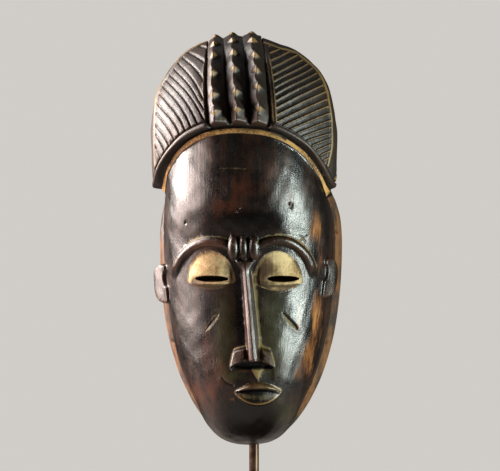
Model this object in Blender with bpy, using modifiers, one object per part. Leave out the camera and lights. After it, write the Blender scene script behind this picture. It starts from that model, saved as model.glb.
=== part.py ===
"""A carved wooden mask on its stand. Metres, +Z up, the face looks along -Y, the viewer's right is +X.
Origin: the centre of the underside of the stand's base.

The mask is worked out in carving units (about a millimetre on a mask 335 mm high): x across, d forward
of the rim's plane and z above the chin. Its outside is a grid of arches from the left rim over the front
to the right rim, moved along its normals by the relief, and its inside is a smaller copy of the arches."""

import math

import bmesh
import bpy
import numpy as np
from mathutils import Matrix

# driving sizes
MASK_HEIGHT = 0.335
MASK_WIDTH = 0.1504  # across the rim at the temples, without the ears
MASK_DEPTH = 0.088  # rim's plane to the forehead
SIDE_WALL = 0.0085
FRONT_WALL = 0.013
TOP_WALL = 0.011
SLIT_HEIGHT = 0.0052
RIM_HOLE_RADIUS = 0.0014
RIM_HOLE_INSET = 0.0052
MASK_TRIANGLES = 8500
MASK_ROWS, MASK_COLUMNS, HOLLOW_STEP = 281, 181, 4

BASE_WIDTH = 0.150
BASE_DEPTH = 0.120
BASE_HEIGHT = 0.030
BASE_BEVEL = 0.0022
CHIN_CLEARANCE = 0.088  # the base's top to the chin
ROD_RADIUS = 0.004
ROD_X = 0.0025
ROD_Y = 0.034  # behind the base's middle
ROD_SOCKET = 0.020
ARM_RADIUS = 0.0034
ARM_HEIGHT = 0.1356  # above the chin
HOOK_REACH = 0.046
HOOK_BEND = 0.012
CONTACT_GAP = 0.0003
RIM_Y = ROD_Y - ROD_RADIUS - CONTACT_GAP
CHIN_Z = BASE_HEIGHT + CHIN_CLEARANCE

# carving units
UNIT_HEIGHT, UNIT_HALF, UNIT_DEPTH = 335.0, 75.2, 88.0
SCALE = np.array([MASK_WIDTH / 2 / UNIT_HALF, MASK_DEPTH / UNIT_DEPTH, MASK_HEIGHT / UNIT_HEIGHT])
HAIRLINE, MIDDLE, HOOK_CEILING = 11, 165.0, 310.0
# arches: z at the rim, half width at the rim, greatest half width, its share of the depth, z in front, depth
ARCHES = np.array([
    (5, 13, 13, 0, 0, 0),
    (7.5, 23, 23, 0, 0.6, 14),
    (13, 31.5, 31.5, 0, 4.5, 30),
    (23, 40.5, 40.5, 0, 14, 44),
    (38, 50, 50, 0, 30, 54),
    (60, 60, 60, 0, 55, 61),
    (90, 68.5, 68.5, 0, 88, 65),
    (125, 73.5, 73.5, 0, 126, 68.5),
    (160, 75.2, 75.2, 0, 165, 77),
    (182, 74.2, 74.2, 0.02, 195, 86),
    (197, 71, 71, 0.08, 226, 88),
    (207, 67.5, 68, 0.2, 254.5, 84),
    (226, 62, 67, 0.4, 274.5, 79.5),
    (248, 58, 67, 0.48, 292, 71),
    (269, 53, 62, 0.5, 306, 60),
    (286, 46, 54.5, 0.5, 317, 46),
    (300, 38, 46, 0.5, 323.5, 31),
    (310, 30, 35, 0.5, 325, 15),
    (317, 23, 23, 0.5, 322, 0),
], float)
LAST = len(ARCHES) - 1

# features, in carving units: places are (x, z) seen from the front
NOSE_ROOT, NOSE_TIP = (3.4, 152.0), (9.9, 68.0)
NOSTRIL_BOX = (-10.0, 25.4, 66.5, 84.0)
PHILTRUM = (6.4, 17.4, 65.8, 12.2, 54.9)
MOUTH = (11.8, 47.0, 18.6)
MOUTH_TOP, MOUTH_LINE, MOUTH_BOTTOM = 54.6, 50.0, 38.2
EYES = ((-24.6, 20.4, 159.4, 134.4, 128.4), (28.6, 19.2, 159.4, 133.6, 127.0))
SLITS = ((-23.6, 13.6), (32.2, 12.4))
SLIT_Z = 136.8
BROWS = (
    ((-4.0, 159.8), (-13.0, 164.6), (-26.0, 166.0), (-36.0, 163.6), (-45.6, 156.8), (-54.3, 145.0), (-58.0, 136.0)),
    ((11.0, 159.8), (19.5, 165.4), (31.0, 167.4), (40.5, 164.4), (48.6, 156.8), (53.8, 146.4), (56.0, 136.0)),
)
BEADS = ((-5.2, 8.6), (2.6, 7.4), (10.6, 8.8))
BEAD_LOW, BEAD_HIGH = 151.8, 170.4
SCARS = (((-18.6, 109.0), (-29.4, 95.6)), ((32.0, 109.6), (43.4, 96.4)))
EARS = ((-1, 29.0, 131.5, 10.0), (1, 33.0, 137.0, 6.6))  # side, forward, height, rise
EAR_REACH, EAR_HALF = 11.5, 16.6
STRIP, RIM_BEVEL = 8.0, 5.0
LEAN = 1.5  # how far the hair leans to the left
STUDS = (
    (12.6, 25.0, 43.1, 60.9, 77.5, 104.0),
    (13.2, 25.9, 44.6, 61.1, 78.5, 106.0),
    (15.0, 30.4, 44.2, 58.2, 77.0, 106.0),
)
KEEL, STUD_RISE, LOBE_RISE = 0.40, 3.1, 6.2
RIM_HOLES = ((1, 174.0), (1, 84.0), (-1, 84.0))

# the coiffure's lines, as the photograph's viewer sees them: (across, up)
VIEW_TURN, VIEW_FAR, VIEW_UP = math.radians(6), 1540.0, 170.0
CREST_LINES = (  # up, then the left edge, the two grooves and the right edge
    (263.0, -35.7, -16.7, -0.4, 17.1),
    (282.5, -37.1, -19.3, -1.3, 16.0),
    (302.5, -37.6, -20.8, -2.4, 14.2),
    (318.0, -36.1, -21.3, -3.9, 11.9),
    (334.0, -33.5, -21.8, -6.4, 8.6),
)
LEFT_OUTLINE = (
    (-34, 334), (-44, 329.5), (-53.5, 323.8), (-59.8, 318.4), (-68, 306.4), (-74, 297), (-78, 286),
    (-79.6, 274), (-80.2, 263), (-80.2, 251), (-80, 234.5), (-78.8, 222), (-75.8, 207.5),
)
RIGHT_OUTLINE = (
    (8, 334), (20, 333), (31.5, 330.6), (40.8, 327.8), (47.8, 322.6), (54.8, 315.6), (59.6, 308.6),
    (63.2, 300), (66.4, 289.2), (68, 277), (69.8, 265), (70, 245), (68.2, 226.5), (64.2, 213),
)
# chosen strokes of the comb: number, both ends, and how far the stroke bows
LEFT_STROKES = (
    (0, -48, 328, -36.5, 325.5, 0),
    (1, -49.5, 320.5, -38, 313.5, 0.4),
    (2, -54, 315.5, -38.5, 297.5, 1.6),
    (3, -58, 311, -40, 284.5, 2.0),
    (5, -65.5, 302, -39, 267.5, 2.6),
    (7, -69.5, 291, -49.5, 261, 2.0),
    (9, -71.5, 274, -58, 254, 1.2),
    (11, -75.5, 259, -66, 242.5, 0.6),
    (13, -78, 247, -73, 234.5, 0.3),
    (14, -79.5, 239.5, -77, 226.5, 0),
)
RIGHT_STROKES = (
    (1, 12.5, 320.5, 22, 325.5, 0),
    (4, 17.5, 303, 42, 316.5, 0.4),
    (8, 19, 280.5, 54.5, 298.5, 0.5),
    (11, 26, 266, 62, 282.5, 0.3),
    (14, 45, 257.5, 65, 265.5, 0),
    (16, 53.5, 251, 64.5, 254.5, 0),
    (19, 59.5, 237.5, 64.5, 240.5, 0),
)


def smooth(low, high, value):
    t = np.clip((value - low) / (high - low), 0, 1)
    return t * t * (3 - 2 * t)


def roll(away, half):
    """A rounded moulding: 1 on its line, 0 at its half width."""
    return np.sqrt(np.clip(1 - (away / half) ** 2, 0, 1))


def arches(level):
    """The rows of ARCHES at any levels, on a smooth curve through them."""
    level = np.clip(np.asarray(level, float), 0, LAST)
    i = np.minimum(level.astype(int), LAST - 1)
    f = (level - i)[:, None]
    b, c = ARCHES[i], ARCHES[i + 1]
    a = np.where((i == 0)[:, None], 2 * b - c, ARCHES[np.maximum(i - 1, 0)])
    d = np.where((i == LAST - 1)[:, None], 2 * c - b, ARCHES[np.minimum(i + 2, LAST)])
    curve = 2 * b + (c - a) * f + (2 * a - 5 * b + 4 * c - d) * f**2 + (3 * b - a - 3 * c + d) * f**3
    return curve / 2


def base_grid(levels, shares):
    """Points (x, d, z) of the unrelieved outside: rows go from the chin to the top, columns from rim to rim."""
    made = np.zeros((len(levels), len(shares), 3))
    angle = np.linspace(0, math.pi / 2, 241)
    for k, (row, level) in enumerate(zip(arches(levels), levels)):
        rim_z, rim_half, half, widest, front_z, depth = row
        widest = max(widest, 0.0)
        hair = float(smooth(9, 12, np.array(level)))
        round_x, round_d = 2.25 + 0.2 * hair, 2.0 + 0.15 * hair
        front_x = half * np.cos(angle) ** (2 / round_x)
        front_d = widest + (1 - widest) * np.sin(angle) ** (2 / round_d)
        back = np.linspace(0, 1, 61)[:-1]
        x = np.concatenate([rim_half + (half - rim_half) * np.sin(back * math.pi / 2), front_x]) if widest > 0.005 else front_x
        share = np.concatenate([widest * back, front_d]) if widest > 0.005 else front_d
        arch = float(smooth(8, 10.5, np.array(level)) * (1 - smooth(12.5, 15, np.array(level))))
        fall = (1 - share) / 0.57
        fall = 1 - np.log1p(np.exp((1 - fall) * 9)) / 9
        fall = (fall - fall[-1]) / (fall[0] - fall[-1])
        plain = 1 - share**1.15
        z = front_z + (rim_z - front_z) * (arch * fall + (1 - arch) * plain)
        x = np.concatenate([-x, x[-2::-1]]) - LEAN * hair
        d = depth * np.concatenate([share, share[-2::-1]])
        z = np.concatenate([z, z[-2::-1]])
        length = np.concatenate([[0], np.cumsum(np.sqrt(np.diff(x) ** 2 + np.diff(d) ** 2 + np.diff(z) ** 2))])
        for axis, values in enumerate((x, d, z)):
            made[k, :, axis] = np.interp(shares, length / length[-1], values)
    made[:, (0, -1), 1] = 0
    made[(0, -1), :, 1] = 0
    return made


def even_levels(count):
    """Levels whose rows are evenly spaced down the middle of the front, one of them on the hairline."""
    fine = np.linspace(0, LAST, 1801)
    rows = arches(fine)
    steps = np.hypot(np.diff(rows[:, 4]), np.diff(rows[:, 5])) + 0.35 * np.hypot(np.diff(rows[:, 0]), np.diff(rows[:, 1]))
    along = np.concatenate([[0], np.cumsum(steps)])
    at = np.interp(HAIRLINE, fine, along)
    below = round(count * at / along[-1])
    marks = np.concatenate([np.linspace(0, at, below + 1), np.linspace(at, along[-1], count - below)[1:]])
    return np.interp(marks, along, fine)


def normals_of(points):
    up, across = np.gradient(points, axis=0), np.gradient(points, axis=1)
    out = np.cross(up, across)
    out[..., 1] = np.where(np.abs(out).sum(-1) < 1e-9, 1e-6, out[..., 1])
    out /= np.linalg.norm(out, axis=-1, keepdims=True)
    middle = out[out.shape[0] // 2, out.shape[1] // 2]
    return out if middle[1] > 0 else -out


def to_curve(x, z, knots):
    """Distance to a curve through the knots, and the share of the way along it."""
    knots = np.array(knots, float)
    best, along = np.full(x.shape, 1e9), np.zeros(x.shape)
    total = len(knots) - 1
    for i in range(total):
        a, b = knots[i], knots[i + 1]
        t = np.clip(((x - a[0]) * (b[0] - a[0]) + (z - a[1]) * (b[1] - a[1])) / ((b - a) ** 2).sum(), 0, 1)
        away = np.hypot(x - a[0] - t * (b[0] - a[0]), z - a[1] - t * (b[1] - a[1]))
        near = away < best
        best, along = np.where(near, away, best), np.where(near, (i + t) / total, along)
    return best, along


def rounded(knots, count=14):
    """The same curve with its corners rounded, as more knots."""
    knots = np.array(knots, float)
    t = np.linspace(0, len(knots) - 1, count)
    i = np.minimum(t.astype(int), len(knots) - 2)
    f = (t - i)[:, None]
    b, c = knots[i], knots[i + 1]
    a = np.where((i == 0)[:, None], 2 * b - c, knots[np.maximum(i - 1, 0)])
    d = np.where((i == len(knots) - 2)[:, None], 2 * c - b, knots[np.minimum(i + 2, len(knots) - 1)])
    return (2 * b + (c - a) * f + (2 * a - 5 * b + 4 * c - d) * f**2 + (3 * b - a - 3 * c + d) * f**3) / 2


def seen(points):
    """Across and up as the photograph's viewer sees the points, in carving units at the rim's plane."""
    right = points[..., 0] * math.cos(VIEW_TURN) - points[..., 1] * math.sin(VIEW_TURN)
    toward = points[..., 0] * math.sin(VIEW_TURN) + points[..., 1] * math.cos(VIEW_TURN)
    nearer = VIEW_FAR / (VIEW_FAR - toward)
    return right * nearer, VIEW_UP + (points[..., 2] - VIEW_UP) * nearer


def comb(x, z, strokes):
    """How many strokes lie above a point, between strokes counted by the share of the way to the next."""
    sides = []
    for number, x0, z0, x1, z1, sag in strokes:
        length = math.hypot(x1 - x0, z1 - z0)
        t = np.clip(((x - x0) * (x1 - x0) + (z - z0) * (z1 - z0)) / length**2, 0, 1)
        side = ((z - z0) * (x1 - x0) - (x - x0) * (z1 - z0)) / length
        sides.append(side - sag * 4 * t * (1 - t))
    count = np.full(x.shape, float(strokes[0][0]))
    count -= np.maximum(sides[0], 0) / 5
    for k in range(len(strokes) - 1):
        above, below = sides[k], sides[k + 1]
        share = np.clip(above / np.where(np.abs(above - below) < 1e-6, 1e-6, above - below), 0, 1)
        count = np.where(above < 0, strokes[k][0] + share * (strokes[k + 1][0] - strokes[k][0]), count)
    return np.where(sides[-1] < 0, strokes[-1][0] - sides[-1] / 5, count)


def coiffure(points, normals, rise):
    """The hair: a rolled lip over the hairline, two combed lobes and three studded ridges.
    rise is the way up the surface from the hairline."""
    d = points[..., 1]
    x, z = seen(points + normals * LOBE_RISE)
    front = smooth(0.02, 0.16, normals[..., 1] * math.cos(VIEW_TURN) + normals[..., 0] * math.sin(VIEW_TURN))
    on = smooth(0.9, 1.7, rise)
    lines = np.array(CREST_LINES)
    edges = [np.interp(z, lines[:, 0], lines[:, k]) for k in range(1, 5)]
    left = x < (edges[0] + edges[3]) / 2
    from_crest = np.where(left, edges[0] - x, x - edges[3])
    # lobes
    from_left, _ = to_curve(x, z, LEFT_OUTLINE)
    from_right, _ = to_curve(x, z, RIGHT_OUTLINE)
    inset = np.where(left, from_left, from_right)
    right_count, left_count = comb(x, z, RIGHT_STROKES), comb(x, z, LEFT_STROKES)
    thin = np.clip(1 - np.abs((right_count + 0.5) % 1 - 0.5) / 0.17, 0, 1)
    groove = np.clip(1 - np.abs((left_count + 0.5) % 1 - 0.5) / 0.34, 0, 1)
    field = front * smooth(6.4, 7.2, rise)
    combed = field * smooth(0, 0.8, inset - np.where(left, 3.4, 4.7))
    combed *= smooth(0, 0.8, from_crest - np.where(left, 0.8, 4.4))
    lobe = LOBE_RISE + combed * np.where(left, 0.6 - 1.9 * groove, 1.25 * np.minimum(thin * 1.4, 1) - 0.75)
    lobe += 0.9 * field * roll(inset - np.where(left, 2.9, 4.3), 0.8)
    low_down = 1 - smooth(312, 324, z)
    lobe += 0.7 * low_down * (field * roll(from_crest - 4.0, 0.8) * ~left + smooth(6, 9, rise) * roll(from_crest - 0.7, 0.9))
    lip = roll(rise - 3.6, 2.7)
    lobe = np.where(rise < 6.3, 4.3 + 2.6 * lip, lobe) - 0.9 * roll(rise - 6.3, 0.6)
    lobe -= 3.4 * roll(from_crest + 0.2, 1.1) * smooth(2, 5, rise) * np.where(left, 1, 0.5)
    lobe *= 1 - 0.5 * (1 - smooth(2, 16, d))
    lobe -= 4.6 * np.exp(-np.clip(rise, 0, 99) / 10) * smooth(48, 64, points[..., 0])
    lobe += 1.5 * smooth(50, 66, np.abs(points[..., 0]))
    lobe -= 3.6 * smooth(286, 310, z) * smooth(6, 28, x) * (1 - smooth(44, 66, x))
    # ridges, each a keel between two of the crest's lines
    tuft = np.full(x.shape, 0.8)
    for k, studs in enumerate(STUDS):
        low, high = edges[k], edges[k + 1]
        middle, half = low + KEEL * (high - low), (high - low) / 2
        near, stud = np.zeros(x.shape), np.zeros(x.shape)
        for place in studs:
            near = np.maximum(near, np.clip(1 - np.abs(rise - place) / 6.5, 0, 1))
            tip = 1 - np.abs(x - middle - 1.0) / 5.2 - np.abs(rise - place + 0.6) / 4.4
            stud = np.maximum(stud, np.minimum(np.clip(tip, 0, 1) * 1.5, 1))
        taper = 0.78 + 0.22 * smooth(-1, 12, rise)
        keel = middle + 1.9 * (near - 0.45)
        t = np.where(x < keel, (keel - x) / (keel - low), (x - keel) / (high - keel))
        t = t / taper
        slope = 0.66 - 0.42 * smooth(45, 85, rise)
        roof = 1 - slope * t - 0.30 * smooth(0.86, 1.0, t) * (1 - smooth(50, 80, rise)) - 2.5 * np.clip(t - 1, 0, 1)
        height = LOBE_RISE + 5.0 - (2.6, 2.1, 1.5)[k] * smooth(40, 85, rise)
        bulge = height * smooth(0.6, 4.0, rise) * np.clip(roof, -0.2, 1) + STUD_RISE * stud * (1 - 0.35 * smooth(70, 90, rise))
        tuft = np.maximum(tuft, bulge)
    tuft *= 0.5 + 0.5 * smooth(0, 14, d)
    hair = np.where(from_crest < 0, tuft, lobe)
    start = np.where(from_crest < 0, smooth(0.8, 2.2, rise), on)
    band = 0.9 * smooth(-4.9, -4.4, rise) * (1 - smooth(-0.5, 0.1, rise)) * smooth(24, 34, d)
    gap = -1.9 * smooth(-0.5, 0.1, rise) * (1 - start) * smooth(6, 16, d)
    return band + gap + start * hair


def face(x, d, z):
    """The face: brows, beads, half-moon eyes, blade nose, mouth, marks and ears."""
    out = np.zeros(x.shape)
    # brow rolls, each over a hollow for the eye
    for side, knots in zip((-1, 1), BROWS):
        away, along = to_curve(x, z, rounded(knots))
        fade = (1 - smooth(0.80, 1.0, along)) * smooth(-0.05, 0.08, along)
        out += 3.5 * roll(away, 3.5) * fade
        out -= 0.5 * roll(away - 4.6, 1.0) * fade
    for middle, half, top, corner, bottom in EYES:
        across = (x - middle) / (half + 4.5)
        up = np.where(z > corner, (z - corner) / (top + 3.2 - corner), (corner - z) / (corner - bottom + 9))
        away = np.sqrt(across**2 + up**2)
        out -= 4.4 * (1 - smooth(0.84, 1.03, away)) * smooth(-12, 4, z - bottom)
        across = (x - middle) / half
        up = np.where(z > corner, (z - corner) / (top - corner), (corner - z) / (corner - bottom))
        away = np.hypot(across, up)
        lens = (corner - z) / np.maximum((corner - bottom) * (1 - across**2), 0.05)
        dome = np.where(z > corner, roll(away, 1.0), roll(across, 1.0) * roll(np.maximum(lens, 0), 1.0))
        out += 8.4 * dome**0.9
    for (middle, half), (eye, eye_half, top, corner, bottom) in zip(SLITS, EYES):
        opening = roll((x - middle) / (half + 1.5), 1.0)
        out -= 1.6 * opening * (1 - smooth(1.2, 3.2, np.abs(z - SLIT_Z)))
        lid = roll(z - SLIT_Z + 6.4, 1.0) * (1 - smooth(0.75, 0.95, np.abs(x - eye) / eye_half))
        out -= 0.9 * lid
    # beads between the brows, over a small step
    for middle, width in BEADS:
        t = (z - (BEAD_LOW + BEAD_HIGH) / 2) / (BEAD_HIGH - BEAD_LOW) * 2
        away = np.abs(x - middle) / (width / 2)
        out = np.maximum(out, 5.6 * roll(np.sqrt(away**2 + np.abs(t) ** 2.4), 1.0) ** 0.75)
    # nose: a blade that widens to the brows
    t = np.clip((NOSE_ROOT[1] - z) / (NOSE_ROOT[1] - NOSE_TIP[1]), -0.1, 1)
    line = NOSE_ROOT[0] + (NOSE_TIP[0] - NOSE_ROOT[0]) * t
    ridge = 2.5 + 5.0 * (1 - smooth(-0.02, 0.13, t)) ** 1.3 + 0.3 * t
    foot = ridge + 2.7 + 0.5 * t
    height = 3.4 + 13.0 * np.clip(t, 0, 1) ** 0.85
    aside = np.abs(x - line)
    valley = smooth(NOSTRIL_BOX[3] - 2, NOSTRIL_BOX[3] + 4, z) * (1 - smooth(146, 154, z))
    out -= np.where(x < line, 6.6 * roll(aside - foot - 2.0, 3.3), 1.3 * roll(aside - foot - 0.8, 3.4)) * valley
    on = smooth(NOSE_TIP[1] + 4.6, NOSE_TIP[1] + 6.0, z) * (1 - smooth(BEAD_LOW - 1.0, BEAD_LOW + 0.6, z))
    blade = height * np.clip((foot - aside) / (foot - ridge), 0, 1) ** 1.25 - 1.8 * np.clip(aside / ridge, 0, 1) ** 1.2
    out = np.maximum(out, np.maximum(blade, 0) * on)
    # nostrils: a block with round shoulders and an undercut floor
    left, right, low, high = NOSTRIL_BOX
    middle, half = (left + right) / 2, (right - left) / 2
    across = np.abs(x - middle) / half
    shoulder = high - 4.5 * np.clip(across, 0, 1) ** 2.0
    arch = low + 7.0 * (1 - np.clip(across, 0, 1) ** 2)
    wing = across / (0.74 + 0.26 * np.clip((high - z) / (high - low), 0, 1) ** 0.7)
    block = smooth(arch - 0.5, arch + 0.4, z) * (1 - smooth(-2.2, 1.0, z - shoulder)) * (1 - smooth(0.90, 1.0, wing))
    swell = 5.6 + 5.6 * np.clip((high - z) / (high - low), 0, 1) - 3.2 * across**2
    cut = 1 - 0.34 * roll(aside - 5.0, 1.8)
    out = np.maximum(out, block * swell * cut)
    # the undercut of the nose and the philtrum
    under = (1 - smooth(arch - 0.9, arch - 0.1, z)) * (1 - smooth(0.86, 1.0, across))
    out -= (0.9 * smooth(52, 63, z) + 4.4 * smooth(64.9, 66.3, z)) * under
    a, b, base_z, tip_x, tip_z = PHILTRUM
    t = np.clip((z - tip_z) / (base_z - tip_z), 0, 1)
    inside = np.minimum(x - tip_x - (a - tip_x) * t, tip_x + (b - tip_x) * t - x)
    wedge = smooth(0, 0.8, inside) * smooth(tip_z, tip_z + 1, z) * (1 - smooth(base_z, base_z + 1, z))
    out += 2.2 * wedge * np.clip(inside / 3.0, 0, 1) ** 0.5
    # mouth
    cx, cz, half = MOUTH
    across = np.clip(1 - ((x - cx) / half) ** 2, 0, 1)
    top, line, bottom = cz + (MOUTH_TOP - cz) * across, cz + (MOUTH_LINE - cz) * across, cz + (MOUTH_BOTTOM - cz) * across
    within = np.abs(x - cx) < half
    upper = roll((z - (top + line) / 2) / np.maximum((top - line) / 2, 0.3), 1.0)
    t = np.clip((line - z) / np.maximum(line - bottom, 0.3), 0, 1)
    lower = (z < line) & (z > bottom)
    out = np.where(within & (z > line) & (z < top), out + 3.6 * upper * np.sqrt(across) + 1.0 * across, out)
    out = np.where(within & lower, out + (0.2 + 3.0 * t**0.8) * across**0.6, out)
    out -= 1.6 * within * roll(z - line + 0.5, 0.9) * across**0.5
    out += 3.2 * within * (1 - smooth(0, 2.6, bottom - z)) * (z <= bottom) * across**0.6
    # cheek marks
    for a, b in SCARS:
        away, along = to_curve(x, z, (a, b))
        half = 2.3 * np.sqrt(np.clip(1 - (2 * along - 1) ** 2, 0.03, 1))
        out -= 1.5 * np.clip(1 - away / half, 0, 1)
    # ears: half discs, notched toward the cheek
    for side, forward, height, stands in EARS:
        on = smooth(0, 4, x * side - 40)
        u, v = (d - forward) / EAR_REACH, (z - height) / EAR_HALF
        away = np.sqrt(u**2 + v**2)
        disc = 1 - smooth(0.90, 1.02, away)
        notch = smooth(0.0, 0.14, u - 0.34 + 0.30 * roll(v - 0.25, 0.40))
        lift = 0.30 + 0.70 * (1 - smooth(-0.9, 0.36, u))
        out += on * stands * disc * (1 - notch) * lift
    return out


def relief(points, normals, rise):
    """How far each point of the plain outside moves along its normal."""
    x, d, z = points[..., 0], points[..., 1], points[..., 2]
    below = 1 - smooth(-9, -5, rise)
    # the bare strip along the rim is bevelled toward the face
    edge = -RIM_BEVEL * np.clip(d / STRIP, 0, 1) * (1 - smooth(STRIP, 62, d)) * smooth(4, 40, z)
    return coiffure(points, normals, rise) + below * face(x, d, z) + edge * (1 - smooth(-4, 0, rise))


def outside(rows, columns):
    levels, shares = even_levels(rows), np.linspace(0, 1, columns)
    points = base_grid(levels, shares)
    steps = np.linalg.norm(np.diff(points, axis=0), axis=-1)
    rise = np.concatenate([np.zeros((1, columns)), np.cumsum(steps, axis=0)])
    rise -= rise[np.argmin(np.abs(levels - HAIRLINE))]
    normals = normals_of(points)
    moved = points + normals * relief(points, normals, rise)[..., None]
    moved[:, (0, -1), 1] = 0
    moved[(0, -1), :, 1] = 0
    moved[..., 1] = np.maximum(moved[..., 1], 0)
    return moved, levels, shares


def inside(levels, shares):
    points = base_grid(levels, shares)
    half, depth = UNIT_HALF * SCALE[0], UNIT_DEPTH * SCALE[1]
    height = MIDDLE * SCALE[2]
    shrink = np.array([1 - SIDE_WALL / half, 1 - FRONT_WALL / depth, 1 - TOP_WALL / height])
    return (points - [0, 0, MIDDLE]) * shrink + [0, 0, MIDDLE]


def placed(points):
    """From carving units to metres, from the chin's place on the rim's plane."""
    return np.stack([points[..., 0], -points[..., 1], points[..., 2]], axis=-1) * SCALE


def clear_scene():
    for obj in list(bpy.data.objects):
        bpy.data.objects.remove(obj, do_unlink=True)


def collection(name):
    made = bpy.data.collections.new(name)
    bpy.context.scene.collection.children.link(made)
    return made


def material(name, colour, roughness, metallic=0.0):
    made = bpy.data.materials.new(name)
    made.use_nodes = True
    shader = made.node_tree.nodes["Principled BSDF"]
    shader.inputs["Base Color"].default_value = (*colour, 1)
    shader.inputs["Roughness"].default_value = roughness
    shader.inputs["Metallic"].default_value = metallic
    return made


def add(name, mesh, where, finish=None, location=(0, 0, 0)):
    obj = bpy.data.objects.new(name, mesh)
    obj.location = location
    where.objects.link(obj)
    if finish:
        mesh.materials.append(finish)
    return obj


def mesh_of(name, shape):
    """A bmesh made into a mesh, its faces turned outward."""
    bmesh.ops.recalc_face_normals(shape, faces=shape.faces)
    mesh = bpy.data.meshes.new(name)
    shape.to_mesh(mesh)
    shape.free()
    return mesh


def round_bar(name, radius, length, sides, along, flatten=1.0):
    """A cylinder about its own middle, along an axis; flatten squeezes it upright."""
    shape = bmesh.new()
    bmesh.ops.create_cone(shape, cap_ends=True, segments=sides, radius1=radius, radius2=radius, depth=length)
    bmesh.ops.scale(shape, vec=(1, flatten, 1), verts=shape.verts)
    turn = {"X": Matrix.Rotation(math.pi / 2, 3, "Y"), "Y": Matrix.Rotation(math.pi / 2, 3, "X"), "Z": Matrix.Identity(3)}
    bmesh.ops.rotate(shape, matrix=turn[along], verts=shape.verts)
    return mesh_of(name, shape)


def cut(obj, cutter, operation="DIFFERENCE"):
    cutter.hide_render = True
    cutter.display_type = "WIRE"
    made = obj.modifiers.new(cutter.name, "BOOLEAN")
    made.operation, made.solver, made.object = operation, "EXACT", cutter


def grid_sheet(shape, points):
    """A Blender grid whose points take these places; returns its vertices as rows."""
    rows, columns = points.shape[:2]
    verts = bmesh.ops.create_grid(shape, x_segments=columns - 1, y_segments=rows - 1, size=1)["verts"]
    for vert, place in zip(verts, points.reshape(-1, 3)):
        vert.co = place
    return [verts[k * columns:(k + 1) * columns] for k in range(rows)]


def edge_loop(sheet, step=1):
    """The vertices round the edge of a sheet, every step-th one."""
    rows, columns = len(sheet), len(sheet[0])
    loop = [sheet[0][j] for j in range(0, columns - 1, step)]
    loop += [sheet[i][-1] for i in range(0, rows - 1, step)]
    loop += [sheet[-1][j] for j in range(columns - 1, 0, -step)]
    loop += [sheet[i][0] for i in range(rows - 1, 0, -step)]
    return loop


def make_mask(where, cutters, finish):
    """The carved outside and the hollow's wall, joined round the rim, then pierced."""
    outer, levels, shares = outside(MASK_ROWS, MASK_COLUMNS)
    inner = inside(levels[::HOLLOW_STEP], shares[::HOLLOW_STEP])
    shape = bmesh.new()
    skin = grid_sheet(shape, placed(outer))
    lining = grid_sheet(shape, placed(inner))
    out_loop, in_loop = edge_loop(skin), edge_loop(lining)
    half = HOLLOW_STEP // 2
    for k, a in enumerate(in_loop):
        b = in_loop[(k + 1) % len(in_loop)]
        near = [out_loop[(k * HOLLOW_STEP + n) % len(out_loop)] for n in range(HOLLOW_STEP + 1)]
        for n in range(half):
            shape.faces.new((a, near[n + 1], near[n]))
        shape.faces.new((a, b, near[half]))
        for n in range(half, HOLLOW_STEP):
            shape.faces.new((b, near[n + 1], near[n]))
    faces = len(shape.faces)
    mesh = mesh_of("mask", shape)
    mesh.shade_smooth()
    mask = add("mask", mesh, where, finish, (0, RIM_Y, CHIN_Z))
    thin = mask.modifiers.new("carved faces", "DECIMATE")
    thin.ratio = MASK_TRIANGLES / (2 * faces)
    for n, (middle, half_width) in enumerate(SLITS):
        lens = round_bar(f"slit_{n + 1}", half_width * SCALE[0], 2 * MASK_DEPTH, 24, "Y",
                         SLIT_HEIGHT / 2 / (half_width * SCALE[0]))
        place = (middle * SCALE[0], RIM_Y - MASK_DEPTH, CHIN_Z + SLIT_Z * SCALE[2])
        cut(mask, add(f"slit_{n + 1}", lens, cutters, location=place))
    for n, (side, height) in enumerate(RIM_HOLES):
        drill = round_bar(f"rim_hole_{n + 1}", RIM_HOLE_RADIUS, MASK_WIDTH / 4, 12, "X")
        place = (side * MASK_WIDTH / 2, RIM_Y - RIM_HOLE_INSET, CHIN_Z + height * SCALE[2])
        cut(mask, add(f"rim_hole_{n + 1}", drill, cutters, location=place))
    return mask


def hook_height():
    """The hook's middle above the chin, just under the hollow's ceiling where the hook ends."""
    shrink = 1 - TOP_WALL / (MIDDLE * SCALE[2])
    ceiling = ((HOOK_CEILING - MIDDLE) * shrink + MIDDLE) * SCALE[2]
    return ceiling - ROD_RADIUS - CONTACT_GAP


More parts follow.
